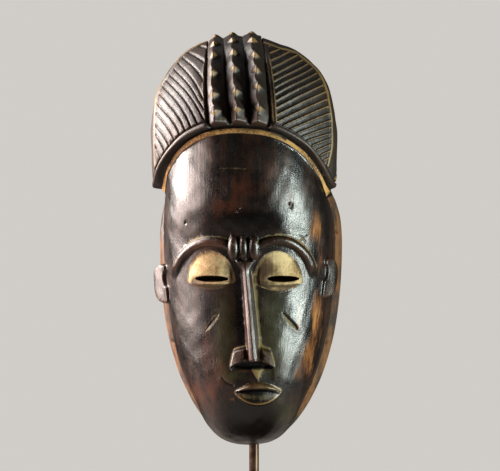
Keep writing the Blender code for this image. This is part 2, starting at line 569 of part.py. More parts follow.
def make_rod(where, cutters, finish):
    """One bar: up behind the mask, then bent forward under the top of its hollow."""
    foot, top = BASE_HEIGHT - ROD_SOCKET, CHIN_Z + hook_height()
    path = [(0, 0, foot), (0, 0, top - HOOK_BEND)]
    for k in range(1, 9):
        a = math.pi / 2 * k / 8
        path.append((0, -HOOK_BEND * (1 - math.cos(a)), top - HOOK_BEND * (1 - math.sin(a))))
    path.append((0, -HOOK_REACH, top))
    curve = bpy.data.curves.new("stand_rod", "CURVE")
    curve.dimensions = "3D"
    curve.bevel_depth, curve.bevel_resolution, curve.use_fill_caps = ROD_RADIUS, 3, True
    line = curve.splines.new("POLY")
    line.points.add(len(path) - 1)
    for point, place in zip(line.points, path):
        point.co = (*place, 1)
    guide = bpy.data.objects.new("rod_path", curve)
    where.objects.link(guide)
    bpy.context.view_layer.update()
    mesh = bpy.data.meshes.new_from_object(guide.evaluated_get(bpy.context.evaluated_depsgraph_get()))
    bpy.data.objects.remove(guide)
    shape = bmesh.new()
    shape.from_mesh(mesh)
    bmesh.ops.remove_doubles(shape, verts=shape.verts, dist=1e-5)
    mesh = mesh_of("stand_rod", shape)
    mesh.materials.clear()
    mesh.shade_smooth()
    rod = add("stand_rod", mesh, where, finish, (ROD_X, ROD_Y, 0))
    arm = round_bar("arm", ARM_RADIUS, MASK_WIDTH - SIDE_WALL, 16, "X")
    arm_y = ROD_Y - ROD_RADIUS + ARM_RADIUS
    cut(rod, add("arm", arm, cutters, location=(0, arm_y, CHIN_Z + ARM_HEIGHT)), "UNION")
    return rod


def make_base(where, cutters, finish):
    shape = bmesh.new()
    bmesh.ops.create_cube(shape, size=1)
    bmesh.ops.scale(shape, vec=(BASE_WIDTH, BASE_DEPTH, BASE_HEIGHT), verts=shape.verts)
    base = add("stand_base", mesh_of("stand_base", shape), where, finish, (0, 0, BASE_HEIGHT / 2))
    bevel = base.modifiers.new("eased edges", "BEVEL")
    bevel.width, bevel.segments = BASE_BEVEL, 3
    depth = ROD_SOCKET + CONTACT_GAP
    drill = round_bar("socket", ROD_RADIUS + CONTACT_GAP, 2 * depth, 28, "Z")
    cut(base, add("socket", drill, cutters, location=(ROD_X, ROD_Y, BASE_HEIGHT)))
    return base


clear_scene()
parts, cutters = collection("mask_on_stand"), collection("cutters")
root = bpy.data.objects.new("mask_on_stand", None)
parts.objects.link(root)
wood = material("carved_wood", (0.022, 0.013, 0.010), 0.35)
steel = material("rod_steel", (0.060, 0.045, 0.035), 0.38, 1.0)
black = material("base_wood", (0.008, 0.008, 0.008), 0.45)
for piece in (make_mask(parts, cutters, wood), make_rod(parts, cutters, steel), make_base(parts, cutters, black)):
    piece.parent = root
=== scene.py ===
# %% [markdown]
# # A carved wooden mask on its stand
#
# The real object is a face mask cut from one block of light wood, stained and oiled until it is almost
# black, with white clay rubbed over its eyes. It hangs on a bent steel rod that stands in a wooden block.
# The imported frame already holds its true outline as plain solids, in metres, with +Z up and the face
# looking along -Y. This lesson makes the fine carving and the finishes round that frame.
#
# We begin by loading the frame, and we keep its box, because the finished piece may not outgrow it.

import math

import bmesh
import bpy
import numpy as np
from mathutils import Matrix, Vector
from mathutils.kdtree import KDTree


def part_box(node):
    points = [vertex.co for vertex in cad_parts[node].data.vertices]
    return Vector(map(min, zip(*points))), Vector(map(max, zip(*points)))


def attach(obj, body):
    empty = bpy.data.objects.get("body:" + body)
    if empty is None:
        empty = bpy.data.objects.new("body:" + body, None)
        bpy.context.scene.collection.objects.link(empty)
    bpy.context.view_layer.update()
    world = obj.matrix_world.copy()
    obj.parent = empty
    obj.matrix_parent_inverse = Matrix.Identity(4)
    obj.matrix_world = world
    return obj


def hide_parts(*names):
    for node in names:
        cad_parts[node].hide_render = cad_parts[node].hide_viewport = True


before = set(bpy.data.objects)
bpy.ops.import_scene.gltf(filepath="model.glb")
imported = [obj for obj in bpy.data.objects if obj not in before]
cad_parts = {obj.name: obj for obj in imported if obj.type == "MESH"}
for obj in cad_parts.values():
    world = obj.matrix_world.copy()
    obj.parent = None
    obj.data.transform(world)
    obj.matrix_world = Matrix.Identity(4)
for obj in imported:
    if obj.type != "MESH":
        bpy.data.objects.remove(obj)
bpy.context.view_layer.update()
mask_low, mask_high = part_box("mask")
rod_low, rod_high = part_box("stand_rod")
base_low, base_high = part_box("stand_base")

# %% [markdown]
# ## Sizes
#
# A carver thinks in shares of the block, so the carving is worked out in carving units: x across, d
# forward of the plane of the rim and z above the chin, each about a millimetre here. The place of the
# whole carving comes from the frame's box: the rim is its back plane and the chin is its lowest point.

# %% Sizes and the carving's own units
RIM_Y, CHIN_Z = mask_high.y, mask_low.z
MASK_HEIGHT, MASK_WIDTH, MASK_DEPTH = 0.335, 0.1504, 0.088
SIDE_WALL, FRONT_WALL, TOP_WALL = 0.0085, 0.013, 0.011
UNIT_HEIGHT, UNIT_HALF, UNIT_DEPTH = 335.0, 75.2, 88.0
SCALE = np.array([MASK_WIDTH / 2 / UNIT_HALF, MASK_DEPTH / UNIT_DEPTH, MASK_HEIGHT / UNIT_HEIGHT])
HAIRLINE, MIDDLE = 11, 165.0
print("rim plane y", round(RIM_Y, 4), "chin z", round(CHIN_Z, 4))

# %% [markdown]
# ## Camera
#
# The camera comes first, because the fine lines of the hair are laid out as its viewer sees them. The
# mask's narrow left flank and wide right flank say that the viewer stood about six degrees to the right.
# A long lens from a metre and a half keeps the face flat, as a portrait lens does. The tiny shift puts
# the chin where the picture has it.

# %% Camera
VIEW_TURN, VIEW_FAR, VIEW_UP = math.radians(6), 1540.0, 170.0
aim = Vector((0, RIM_Y, CHIN_Z + VIEW_UP * SCALE[2]))
lens = bpy.data.cameras.new("portrait lens")
lens.lens, lens.sensor_width = 135, 36
lens.shift_x, lens.shift_y = -0.5 / 500, 1.0 / 500
camera = bpy.data.objects.new("camera", lens)
camera.location = aim + VIEW_FAR / 1000 * Vector((math.sin(VIEW_TURN), -math.cos(VIEW_TURN), 0))
camera.rotation_euler = (aim - camera.location).to_track_quat("-Z", "Y").to_euler()
bpy.context.scene.collection.objects.link(camera)
bpy.context.scene.camera = camera
print("camera at", [round(v, 3) for v in camera.location])

# %% [markdown]
# ## The block's plain form
#
# Without its details the mask is a shell of arches: each arch starts on the left rim, runs over the
# front and ends on the right rim. A table of nineteen arches gives their widths and depths, and a smooth
# curve through them gives as many rows as the fine mesh needs. A sphere or a subdivided cage could be
# pushed to this shape too, but the arches keep the chin, temples and crown where they are measured.

# %% The arches
# arches: z at the rim, half width at the rim, greatest half width, its share of the depth, z in front, depth
ARCHES = np.array([
    (5, 13, 13, 0, 0, 0),
    (7.5, 23, 23, 0, 0.6, 14),
    (13, 31.5, 31.5, 0, 4.5, 30),
    (23, 40.5, 40.5, 0, 14, 44),
    (38, 50, 50, 0, 30, 54),
    (60, 60, 60, 0, 55, 61),
    (90, 68.5, 68.5, 0, 88, 65),
    (125, 73.5, 73.5, 0, 126, 68.5),
    (160, 75.2, 75.2, 0, 165, 77),
    (182, 74.2, 74.2, 0.02, 195, 86),
    (197, 71, 71, 0.08, 226, 88),
    (207, 67.5, 68, 0.2, 254.5, 84),
    (226, 62, 67, 0.4, 274.5, 79.5),
    (248, 58, 67, 0.48, 292, 71),
    (269, 53, 62, 0.5, 306, 60),
    (286, 46, 54.5, 0.5, 317, 46),
    (300, 38, 46, 0.5, 323.5, 31),
    (310, 30, 35, 0.5, 325, 15),
    (317, 23, 23, 0.5, 322, 0),
], float)
LAST = len(ARCHES) - 1
LEAN = 1.5  # how far the hair leans to the left
print(len(ARCHES), "arches; the widest is", 2 * ARCHES[:, 2].max(), "units across")


# %% A soft step, a moulding and a curve through the arches
def smooth(low, high, value):
    """A soft step: 0 up to low, 1 from high on."""
    t = np.clip((value - low) / (high - low), 0, 1)
    return t * t * (3 - 2 * t)


def roll(away, half):
    """A rounded moulding: 1 on its line, 0 at its half width."""
    return np.sqrt(np.clip(1 - (away / half) ** 2, 0, 1))


def arches(level):
    """The rows of ARCHES at any levels, on a smooth curve through them."""
    level = np.clip(np.asarray(level, float), 0, LAST)
    i = np.minimum(level.astype(int), LAST - 1)
    f = (level - i)[:, None]
    b, c = ARCHES[i], ARCHES[i + 1]
    a = np.where((i == 0)[:, None], 2 * b - c, ARCHES[np.maximum(i - 1, 0)])
    d = np.where((i == LAST - 1)[:, None], 2 * c - b, ARCHES[np.minimum(i + 2, LAST)])
    curve = 2 * b + (c - a) * f + (2 * a - 5 * b + 4 * c - d) * f**2 + (3 * b - a - 3 * c + d) * f**3
    return curve / 2


print("between the fifth and sixth arch:", np.round(arches([4.5])[0], 1).tolist())

# %% [markdown]
# ### From arches to a grid
#
# Each arch is a superellipse, which is an ellipse with a little more shoulder. It leans back with the
# forehead, and its points are spread evenly along its length, so no column of the mesh is crowded. The
# rows are spread evenly up the middle of the front, and one of them lies on the hairline.

# %% The plain outside as a grid
ROUNDNESS, HAIR_ROUNDER = (2.25, 2.0), (0.2, 0.15)  # of an arch, across and forward
FALL_SHARE, FALL_SOFTNESS = 0.57, 9  # by the hairline an arch drops over this share of its depth


def base_grid(levels, shares):
    """Points (x, d, z) of the plain outside: rows go from the chin to the top, columns from rim to rim."""
    made = np.zeros((len(levels), len(shares), 3))
    angle = np.linspace(0, math.pi / 2, 241)
    for k, (row, level) in enumerate(zip(arches(levels), levels)):
        rim_z, rim_half, half, widest, front_z, depth = row
        widest = max(widest, 0.0)
        hair = float(smooth(9, 12, np.array(level)))
        round_x, round_d = (least + more * hair for least, more in zip(ROUNDNESS, HAIR_ROUNDER))
        front_x = half * np.cos(angle) ** (2 / round_x)
        front_d = widest + (1 - widest) * np.sin(angle) ** (2 / round_d)
        back = np.linspace(0, 1, 61)[:-1]
        x, share = front_x, front_d
        if widest > 0.005:
            x = np.concatenate([rim_half + (half - rim_half) * np.sin(back * math.pi / 2), front_x])
            share = np.concatenate([widest * back, front_d])
        arch = float(smooth(8, 10.5, np.array(level)) * (1 - smooth(12.5, 15, np.array(level))))
        fall = (1 - share) / FALL_SHARE
        fall = 1 - np.log1p(np.exp((1 - fall) * FALL_SOFTNESS)) / FALL_SOFTNESS
        fall = (fall - fall[-1]) / (fall[0] - fall[-1])
        plain = 1 - share**1.15
        z = front_z + (rim_z - front_z) * (arch * fall + (1 - arch) * plain)
        x = np.concatenate([-x, x[-2::-1]]) - LEAN * hair
        d = depth * np.concatenate([share, share[-2::-1]])
        z = np.concatenate([z, z[-2::-1]])
        steps = np.sqrt(np.diff(x) ** 2 + np.diff(d) ** 2 + np.diff(z) ** 2)
        length = np.concatenate([[0], np.cumsum(steps)])
        for axis, values in enumerate((x, d, z)):
            made[k, :, axis] = np.interp(shares, length / length[-1], values)
    made[:, (0, -1), 1] = 0
    made[(0, -1), :, 1] = 0
    return made


def even_levels(count):
    """Levels whose rows are evenly spaced down the middle of the front, one of them on the hairline."""
    fine = np.linspace(0, LAST, 1801)
    rows = arches(fine)
    steps = np.hypot(np.diff(rows[:, 4]), np.diff(rows[:, 5]))
    steps = steps + 0.35 * np.hypot(np.diff(rows[:, 0]), np.diff(rows[:, 1]))
    along = np.concatenate([[0], np.cumsum(steps)])
    at = np.interp(HAIRLINE, fine, along)
    below = round(count * at / along[-1])
    marks = np.concatenate([np.linspace(0, at, below + 1), np.linspace(at, along[-1], count - below)[1:]])
    return np.interp(marks, along, fine)


def normals_of(points):
    """The outward normal at each point of a grid."""
    up, across = np.gradient(points, axis=0), np.gradient(points, axis=1)
    out = np.cross(up, across)
    out[..., 1] = np.where(np.abs(out).sum(-1) < 1e-9, 1e-6, out[..., 1])
    out /= np.linalg.norm(out, axis=-1, keepdims=True)
    middle = out[out.shape[0] // 2, out.shape[1] // 2]
    return out if middle[1] > 0 else -out


probe = base_grid(even_levels(9), np.linspace(0, 1, 9)).reshape(-1, 3)
print("plain form, units:", np.round(probe.min(0), 1), np.round(probe.max(0), 1))

# %% [markdown]
# ## Tools for drawing on the form
#
# A carver draws lines on the block before cutting. These helpers do the same: the distance to a curve,
# a curve with its corners rounded, the place of a point as the viewer sees it, a count of the comb's
# strokes across a lobe of hair, soft round blots for stains, a blur that tells edges from hollows, and
# a seeded ripple for the unevenness of hand work, which comes out the same in every run.

# %% Distances to curves
def to_curve(x, z, knots):
    """Distance to a curve through the knots, and the share of the way along it."""
    knots = np.array(knots, float)
    best, along = np.full(x.shape, 1e9), np.zeros(x.shape)
    total = len(knots) - 1
    for i in range(total):
        a, b = knots[i], knots[i + 1]
        t = np.clip(((x - a[0]) * (b[0] - a[0]) + (z - a[1]) * (b[1] - a[1])) / ((b - a) ** 2).sum(), 0, 1)
        away = np.hypot(x - a[0] - t * (b[0] - a[0]), z - a[1] - t * (b[1] - a[1]))
        near = away < best
        best, along = np.where(near, away, best), np.where(near, (i + t) / total, along)
    return best, along


def rounded(knots, count=14):
    """The same curve with its corners rounded, as more knots."""
    knots = np.array(knots, float)
    t = np.linspace(0, len(knots) - 1, count)
    i = np.minimum(t.astype(int), len(knots) - 2)
    f = (t - i)[:, None]
    b, c = knots[i], knots[i + 1]
    a = np.where((i == 0)[:, None], 2 * b - c, knots[np.maximum(i - 1, 0)])
    d = np.where((i == len(knots) - 2)[:, None], 2 * c - b, knots[np.minimum(i + 2, len(knots) - 1)])
    return (2 * b + (c - a) * f + (2 * a - 5 * b + 4 * c - d) * f**2 + (3 * b - a - 3 * c + d) * f**3) / 2


print("a curve through 3 knots, rounded, has", len(rounded(((0, 0), (1, 1), (2, 0)))), "knots")


# %% What the viewer sees, and the comb's strokes
def seen(points):
    """Across and up as the photograph's viewer sees the points, in carving units at the rim's plane."""
    right = points[..., 0] * math.cos(VIEW_TURN) - points[..., 1] * math.sin(VIEW_TURN)
    toward = points[..., 0] * math.sin(VIEW_TURN) + points[..., 1] * math.cos(VIEW_TURN)
    nearer = VIEW_FAR / (VIEW_FAR - toward)
    return right * nearer, VIEW_UP + (points[..., 2] - VIEW_UP) * nearer


def comb(x, z, strokes):
    """How many strokes lie above a point, between strokes counted by the share of the way to the next."""
    sides = []
    for number, x0, z0, x1, z1, sag in strokes:
        length = math.hypot(x1 - x0, z1 - z0)
        t = np.clip(((x - x0) * (x1 - x0) + (z - z0) * (z1 - z0)) / length**2, 0, 1)
        side = ((z - z0) * (x1 - x0) - (x - x0) * (z1 - z0)) / length
        sides.append(side - sag * 4 * t * (1 - t))
    count = np.full(x.shape, float(strokes[0][0]))
    count -= np.maximum(sides[0], 0) / 5
    for k in range(len(strokes) - 1):
        above, below = sides[k], sides[k + 1]
        share = np.clip(above / np.where(np.abs(above - below) < 1e-6, 1e-6, above - below), 0, 1)
        count = np.where(above < 0, strokes[k][0] + share * (strokes[k + 1][0] - strokes[k][0]), count)
    return np.where(sides[-1] < 0, strokes[-1][0] - sides[-1] / 5, count)


nose_seen = seen(np.array([0.0, UNIT_DEPTH, VIEW_UP]))
print("the middle of the front is seen", round(float(nose_seen[0]), 1), "units to the side")


# %% Blots, a blur and a ripple
def blots(across, up, places):
    """Soft ellipses (across, up, half width, half height, strength), joined by the strongest."""
    total = np.zeros(across.shape)
    for x, z, half, tall, strength in places:
        away = ((across - x) / half) ** 2 + ((up - z) / tall) ** 2
        total = np.maximum(total, strength * np.exp(-away))
    return total


def blurred(values, radius):
    """The same grid of values, averaged over a square of cells three times."""
    for axis in (0, 1):
        for _ in range(3):
            padded = np.pad(values, [(radius + 1, radius) if a == axis else (0, 0) for a in (0, 1)], "edge")
            total = np.cumsum(padded, axis=axis)
            high = np.take(total, range(2 * radius + 1, total.shape[axis]), axis=axis)
            low = np.take(total, range(0, total.shape[axis] - 2 * radius - 1), axis=axis)
            values = (high - low) / (2 * radius + 1)
    return values


def ripple(points, size, seed):
    """A smooth, seeded unevenness between -1 and 1 with lumps of about that size, as a hand tool leaves."""
    turns = np.random.default_rng(seed).normal(size=(6, 3))
    phases = np.random.default_rng(seed + 1).uniform(0, 2 * math.pi, 6)
    waves = [np.sin(points @ (turn / np.linalg.norm(turn)) * 2 * math.pi / size + phase)
             for turn, phase in zip(turns, phases)]
    return sum(waves) / 3


print("helpers for drawing are ready; the view is turned", round(math.degrees(VIEW_TURN)), "degrees")

# %% [markdown]
# ## The hair
#
# On the real mask the hair has two lobes, combed in opposite ways, and between them three ridges set with
# diamond studs. The left lobe has broad, bowed strips with thin cuts between them; the right lobe has thin
# raised ridges with wide hollows. A rolled lip separates the lobes from the clay band on the hairline. The
# lines are laid out as the viewer sees them, and each becomes a height above the plain form. A model made
# of separate strips would leave seams, so one height for each point of the surface is the honest way.
#
# The same lines say where wear shows pale wood, so the function also fills a dictionary of paint.

# %% Where the hair's lines run
KEEL, STUD_RISE, LOBE_RISE = 0.40, 3.1, 6.2
STUDS = (  # each stud's height above the hairline, on the three ridges
    (12.6, 25.0, 43.1, 60.9, 77.5, 104.0),
    (13.2, 25.9, 44.6, 61.1, 78.5, 106.0),
    (15.0, 30.4, 44.2, 58.2, 77.0, 106.0),
)
CREST_LINES = (  # up, then the left edge, the two grooves and the right edge
    (263.0, -35.7, -16.7, -0.4, 17.1),
    (282.5, -37.1, -19.3, -1.3, 16.0),
    (302.5, -37.6, -20.8, -2.4, 14.2),
    (318.0, -36.1, -21.3, -3.9, 11.9),
    (334.0, -33.5, -21.8, -6.4, 8.6),
)
LEFT_OUTLINE = (
    (-34, 334), (-44, 329.5), (-53.5, 323.8), (-59.8, 318.4), (-68, 306.4), (-74, 297), (-78, 286),
    (-79.6, 274), (-80.2, 263), (-80.2, 251), (-80, 234.5), (-78.8, 222), (-75.8, 207.5),
)
RIGHT_OUTLINE = (
    (8, 334), (20, 333), (31.5, 330.6), (40.8, 327.8), (47.8, 322.6), (54.8, 315.6), (59.6, 308.6),
    (63.2, 300), (66.4, 289.2), (68, 277), (69.8, 265), (70, 245), (68.2, 226.5), (64.2, 213),
)
# chosen strokes of the comb: number, both ends, and how far the stroke bows
LEFT_STROKES = (
    (0, -48, 328, -36.5, 325.5, 0),
    (1, -49.5, 320.5, -38, 313.5, 0.4),
    (2, -54, 315.5, -38.5, 297.5, 1.6),
    (3, -58, 311, -40, 284.5, 2.0),
    (5, -65.5, 302, -39, 267.5, 2.6),
    (7, -69.5, 291, -49.5, 261, 2.0),
    (9, -71.5, 274, -58, 254, 1.2),
    (11, -75.5, 259, -66, 242.5, 0.6),
    (13, -78, 247, -73, 234.5, 0.3),
    (14, -79.5, 239.5, -77, 226.5, 0),
)
RIGHT_STROKES = (
    (1, 12.5, 320.5, 22, 325.5, 0),
    (4, 17.5, 303, 42, 316.5, 0.4),
    (8, 19, 280.5, 54.5, 298.5, 0.5),
    (11, 26, 266, 62, 282.5, 0.3),
    (14, 45, 257.5, 65, 265.5, 0),
    (16, 53.5, 251, 64.5, 254.5, 0),
    (19, 59.5, 237.5, 64.5, 240.5, 0),
)
print("strokes:", LEFT_STROKES[-1][0], "on the left lobe,", RIGHT_STROKES[-1][0], "on the right")

# %% [markdown]
# ### The two lobes
#
# The comb's lines are counted across each lobe: a whole number is a line, and a half is between two. That
# one number gives the left lobe its thin cuts and the right lobe its thin raised lines, however the lines
# bow and fan. A rail follows each lobe's outline, and the lip is rolled over the band of clay.

# %% The combed lobes
CUT_SHARE, LINE_SHARE = 0.18, 0.17  # half width of a cut or a raised line, as a share of the way to the next
LIP_PLACE, LIP_HALF, LIP_END = 3.6, 2.7, 6.3


def lobes(points, x, z, rise, front, from_crest, left):
    """The rolled lip and the combed lobes: their height, and where their raised lines are worn pale."""
    def by_side(on_left, on_right):
        return np.where(left, on_left, on_right)

    inset = by_side(to_curve(x, z, LEFT_OUTLINE)[0], to_curve(x, z, RIGHT_OUTLINE)[0])
    thin = np.clip(1 - np.abs((comb(x, z, RIGHT_STROKES) + 0.5) % 1 - 0.5) / LINE_SHARE, 0, 1)
    groove = np.clip(1 - np.abs((comb(x, z, LEFT_STROKES) + 0.5) % 1 - 0.5) / CUT_SHARE, 0, 1)
    field = front * smooth(6.4, 7.2, rise)
    combed = field * smooth(0, 0.8, inset - by_side(3.4, 4.7))
    combed *= smooth(0, 0.8, from_crest - by_side(0.8, 4.4))
    height = LOBE_RISE + combed * by_side(0.5 - 1.4 * groove, 1.25 * np.minimum(thin * 1.4, 1) - 0.75)
    # rails along the outline, a seam beside the crest on the right, and a welt on both its sides
    rail = roll(inset - by_side(2.9, 4.3), 0.8)
    low_down = 1 - smooth(312, 324, z)
    seam = low_down * roll(from_crest - 4.0, 0.8) * ~left
    welt = low_down * smooth(6, 9, rise) * roll(from_crest - 0.7, 0.9)
    height += 0.9 * field * rail + 0.7 * field * seam + 0.7 * welt
    lip = roll(rise - LIP_PLACE, LIP_HALF)
    height = np.where(rise < LIP_END, 4.3 + 2.6 * lip, height) - 0.9 * roll(rise - LIP_END, 0.6)
    # a deep cut beside the crest; then the swell is lower at the rim, over the right ear and at the top right
    height -= 3.4 * roll(from_crest + 0.2, 1.1) * smooth(2, 5, rise) * by_side(1, 0.5)
    height *= 1 - 0.5 * (1 - smooth(2, 16, points[..., 1]))
    height -= 4.6 * np.exp(-np.clip(rise, 0, 99) / 10) * smooth(48, 64, points[..., 0])
    height += 1.5 * smooth(50, 66, np.abs(points[..., 0]))
    height -= 3.6 * smooth(286, 310, z) * smooth(6, 28, x) * (1 - smooth(44, 66, x))
    cut_sides = 0.55 * smooth(0.25, 0.6, groove) * (1 - smooth(0.75, 1.0, groove))
    worn = np.maximum(combed * by_side(cut_sides, smooth(0.35, 0.8, thin)),
                      field * np.maximum(rail, seam) * by_side(0.7, 0.9))
    return height, np.maximum(worn, 0.75 * welt * front)


print("lobes rise", LOBE_RISE, "units; the lip ends", LIP_END, "units above the hairline")

# %% [markdown]
# ### The studded ridges
#
# Each ridge is a keel like a roof's, whose line steps aside between its studs. A stud is a small pyramid:
# the height falls evenly to both sides and along the ridge, so its facets come out sharp by themselves.
# Their lower facets are rubbed pale.

# %% The ridges and their studs
RIDGE_RISE, RIDGE_SINK = 5.0, (2.6, 2.1, 1.5)  # above the lobes, and how far each ridge sinks at the back
STUD_HALF, STUD_TALL, STUD_NEAR = 5.2, 4.4, 6.5
KEEL_STEP = 1.9


def ridges(x, rise, edges):
    """Three keels set with studs: their height, and the studs' lower facets."""
    tuft, facet = np.full(x.shape, 0.8), np.zeros(x.shape)
    for low, high, studs, sink in zip(edges, edges[1:], STUDS, RIDGE_SINK):
        middle = low + KEEL * (high - low)
        near, stud = np.zeros(x.shape), np.zeros(x.shape)
        for place in studs:
            near = np.maximum(near, np.clip(1 - np.abs(rise - place) / STUD_NEAR, 0, 1))
            tip = 1 - np.abs(x - middle - 1.0) / STUD_HALF - np.abs(rise - place + 0.6) / STUD_TALL
            stud = np.maximum(stud, np.minimum(np.clip(tip, 0, 1) * 1.5, 1))
            facet = np.maximum(facet, smooth(0.0, 0.15, tip) * (1 - smooth(-1.4, -0.6, rise - place)))
        keel = middle + KEEL_STEP * (near - 0.45)
        t = np.where(x < keel, (keel - x) / (keel - low), (x - keel) / (high - keel))
        t = t / (0.78 + 0.22 * smooth(-1, 12, rise))
        slope = 0.66 - 0.42 * smooth(45, 85, rise)
        undercut = 0.30 * smooth(0.86, 1.0, t) * (1 - smooth(50, 80, rise))
        roof = 1 - slope * t - undercut - 2.5 * np.clip(t - 1, 0, 1)
        height = LOBE_RISE + RIDGE_RISE - sink * smooth(40, 85, rise)
        bulge = height * smooth(0.6, 4.0, rise) * np.clip(roof, -0.2, 1)
        tuft = np.maximum(tuft, bulge + STUD_RISE * stud * (1 - 0.35 * smooth(70, 90, rise)))
    return tuft, facet


print("studs on the ridges:", [len(studs) for studs in STUDS])

# %% The height of the hair above the plain form
BAND_LOW, BAND_HIGH = -4.7, -0.35  # the band of clay, below the hairline


def coiffure(points, normals, rise, paint):
    """The clay's band, the lobes and the crest of ridges. rise is the way up from the hairline."""
    d = points[..., 1]
    x, z = seen(points + normals * LOBE_RISE)
    front = smooth(0.02, 0.16, normals[..., 1] * math.cos(VIEW_TURN) + normals[..., 0] * math.sin(VIEW_TURN))
    lines = np.array(CREST_LINES)
    edges = [np.interp(z, lines[:, 0], lines[:, k]) for k in range(1, 5)]
    left = x < (edges[0] + edges[3]) / 2
    from_crest = np.where(left, edges[0] - x, x - edges[3])
    lobe, lines_worn = lobes(points, x, z, rise, front, from_crest, left)
    tuft, facet = ridges(x, rise, edges)
    tuft *= 0.5 + 0.5 * smooth(0, 14, d)
    crest = from_crest < 0
    hair = np.where(crest, tuft, lobe)
    start = np.where(crest, smooth(0.8, 2.2, rise), smooth(0.9, 1.7, rise))
    band = 0.9 * smooth(-4.9, -4.4, rise) * (1 - smooth(-0.5, 0.1, rise)) * smooth(24, 34, d)
    gap = -1.9 * smooth(-0.5, 0.1, rise) * (1 - start) * smooth(6, 16, d)
    # paint: the band of clay, the hair, pale worn lines and painted shade in the gap under the lip
    paint["band"] = np.minimum(rise - BAND_LOW, BAND_HIGH - rise) - 6 * (1 - smooth(11, 17, d))
    paint["hair"] = smooth(-0.4, 0.4, rise)
    paint["tan"] = np.where(crest, 0.95 * facet, lines_worn) * smooth(-0.2, 0.8, rise)
    paint["gap"] = smooth(-0.6, 0.0, rise) * (1 - smooth(0.8, 2.4, rise)) * smooth(6, 16, d)
    return band + gap + start * hair


print("the clay's band is", round(BAND_HIGH - BAND_LOW, 2), "units wide")

# %% [markdown]
# ## The face
#
# The face is stylised: brows rolled over hollow sockets, three beads between them, half-moon eyes, a
# blade of a nose that widens to the beads, a small mouth and C-shaped ears. One function cuts each feature:
# it adds a moulding, a wedge or a groove to the height so far. A sculpting brush would start quicker, but a
# height that is written as a few numbers can be measured against the picture and put right.
#
# Each function also lays paint: clay, dust in the creases, worn tan edges, stains, and painted shade in cuts,
# gaps and pits.

# %% Where the face's features are
# features, in carving units: places are (x, z) seen from the front
NOSE_ROOT, NOSE_TIP = (3.4, 152.0), (9.9, 68.0)
NOSTRIL_BOX = (-10.0, 25.4, 66.5, 84.0)
PHILTRUM = (6.4, 17.4, 65.8, 12.2, 54.9)
MOUTH = (11.8, 47.0, 18.6)
MOUTH_TOP, MOUTH_LINE, MOUTH_BOTTOM = 54.6, 50.0, 38.2
EYES = ((-24.6, 20.4, 159.4, 134.4, 128.4), (28.6, 19.2, 159.4, 133.6, 127.0))
SLITS = ((-23.6, 13.6), (32.2, 12.4))
SLIT_Z = 136.8
BROWS = (
    ((-4.0, 159.8), (-13.0, 164.6), (-26.0, 166.0), (-36.0, 163.6),
     (-45.6, 156.8), (-54.3, 145.0), (-58.0, 136.0)),
    ((11.0, 159.8), (19.5, 165.4), (31.0, 167.4), (40.5, 164.4),
     (48.6, 156.8), (53.8, 146.4), (56.0, 136.0)),
)
BEADS = ((-5.2, 8.6), (2.6, 7.4), (10.6, 8.8))
BEAD_GAPS = (-1.0, 6.3)
BEAD_LOW, BEAD_HIGH = 151.8, 170.4
SCARS = (((-18.6, 109.0), (-29.4, 95.6)), ((32.0, 109.6), (43.4, 96.4)))
SCRATCHES = (  # depth, half width and course
    (0.35, 0.9, ((-17.5, 222.6), (-5.0, 222.9), (7.0, 222.0))),
    (0.35, 0.8, ((45.5, 166.5), (51.5, 170.5))),
    (0.35, 0.8, ((46.5, 170.5), (50.5, 164.8))),
    (0.6, 0.8, ((-17.3, 58.9), (-13.0, 54.6), (-6.2, 51.8))),
)
PITS = ((-44.4, 180.5), (38.6, 195.6), (40.6, 194.2), (39.6, 192.2), (1.5, 191.5), (-2.0, 188.8))
EARS = ((-1, 29.0, 131.5, 10.0), (1, 33.0, 137.0, 6.6))  # side, forward, height, rise
EAR_REACH, EAR_HALF = 11.5, 16.6
STRIP, RIM_BEVEL = 8.0, 5.0
print("eyes at", [eye[0] for eye in EYES], "units across")


# %% Laying paint
def lay(paint, name, amount):
    """Lays paint by an amount for each point, where that is more than what lies there."""
    paint[name] = np.maximum(paint[name], amount)


print("paint is laid where it is stronger than before")

# %% [markdown]
# ### Brows and eyes
#
# A brow is a half-round moulding along a curve, with a cut above it that holds dust. Each eye is a dome
# set in a hollow: an arch over the line of its corners and a flat curve under it. The clay covers it,
# browned at its edge, in the fold of the lower lid and over the inner corner, where hands haven't rubbed.

# %% The brows
BROW_RISE = BROW_HALF = 3.5


def brows(out, x, z, paint):
    """Two rolls that fade at their ends, with a dusty cut along each."""
    for knots in BROWS:
        away, along = to_curve(x, z, rounded(knots))
        fade = (1 - smooth(0.80, 1.0, along)) * smooth(-0.05, 0.08, along)
        out += BROW_RISE * roll(away, BROW_HALF) * fade
        out -= 0.5 * roll(away - 4.6, 1.0) * fade
        above = smooth(-2, 3, z - np.interp(x, *np.array(sorted(knots)).T))
        lay(paint, "dust", 0.85 * roll(away - 4.2, 1.0) * fade * above)
    return out


print("brows rise", BROW_RISE, "units")

# %% The eyes
SOCKET_DEPTH, LENS_RISE, SLIT_DISH, LID_CUT = 4.4, 8.4, 1.6, 0.9


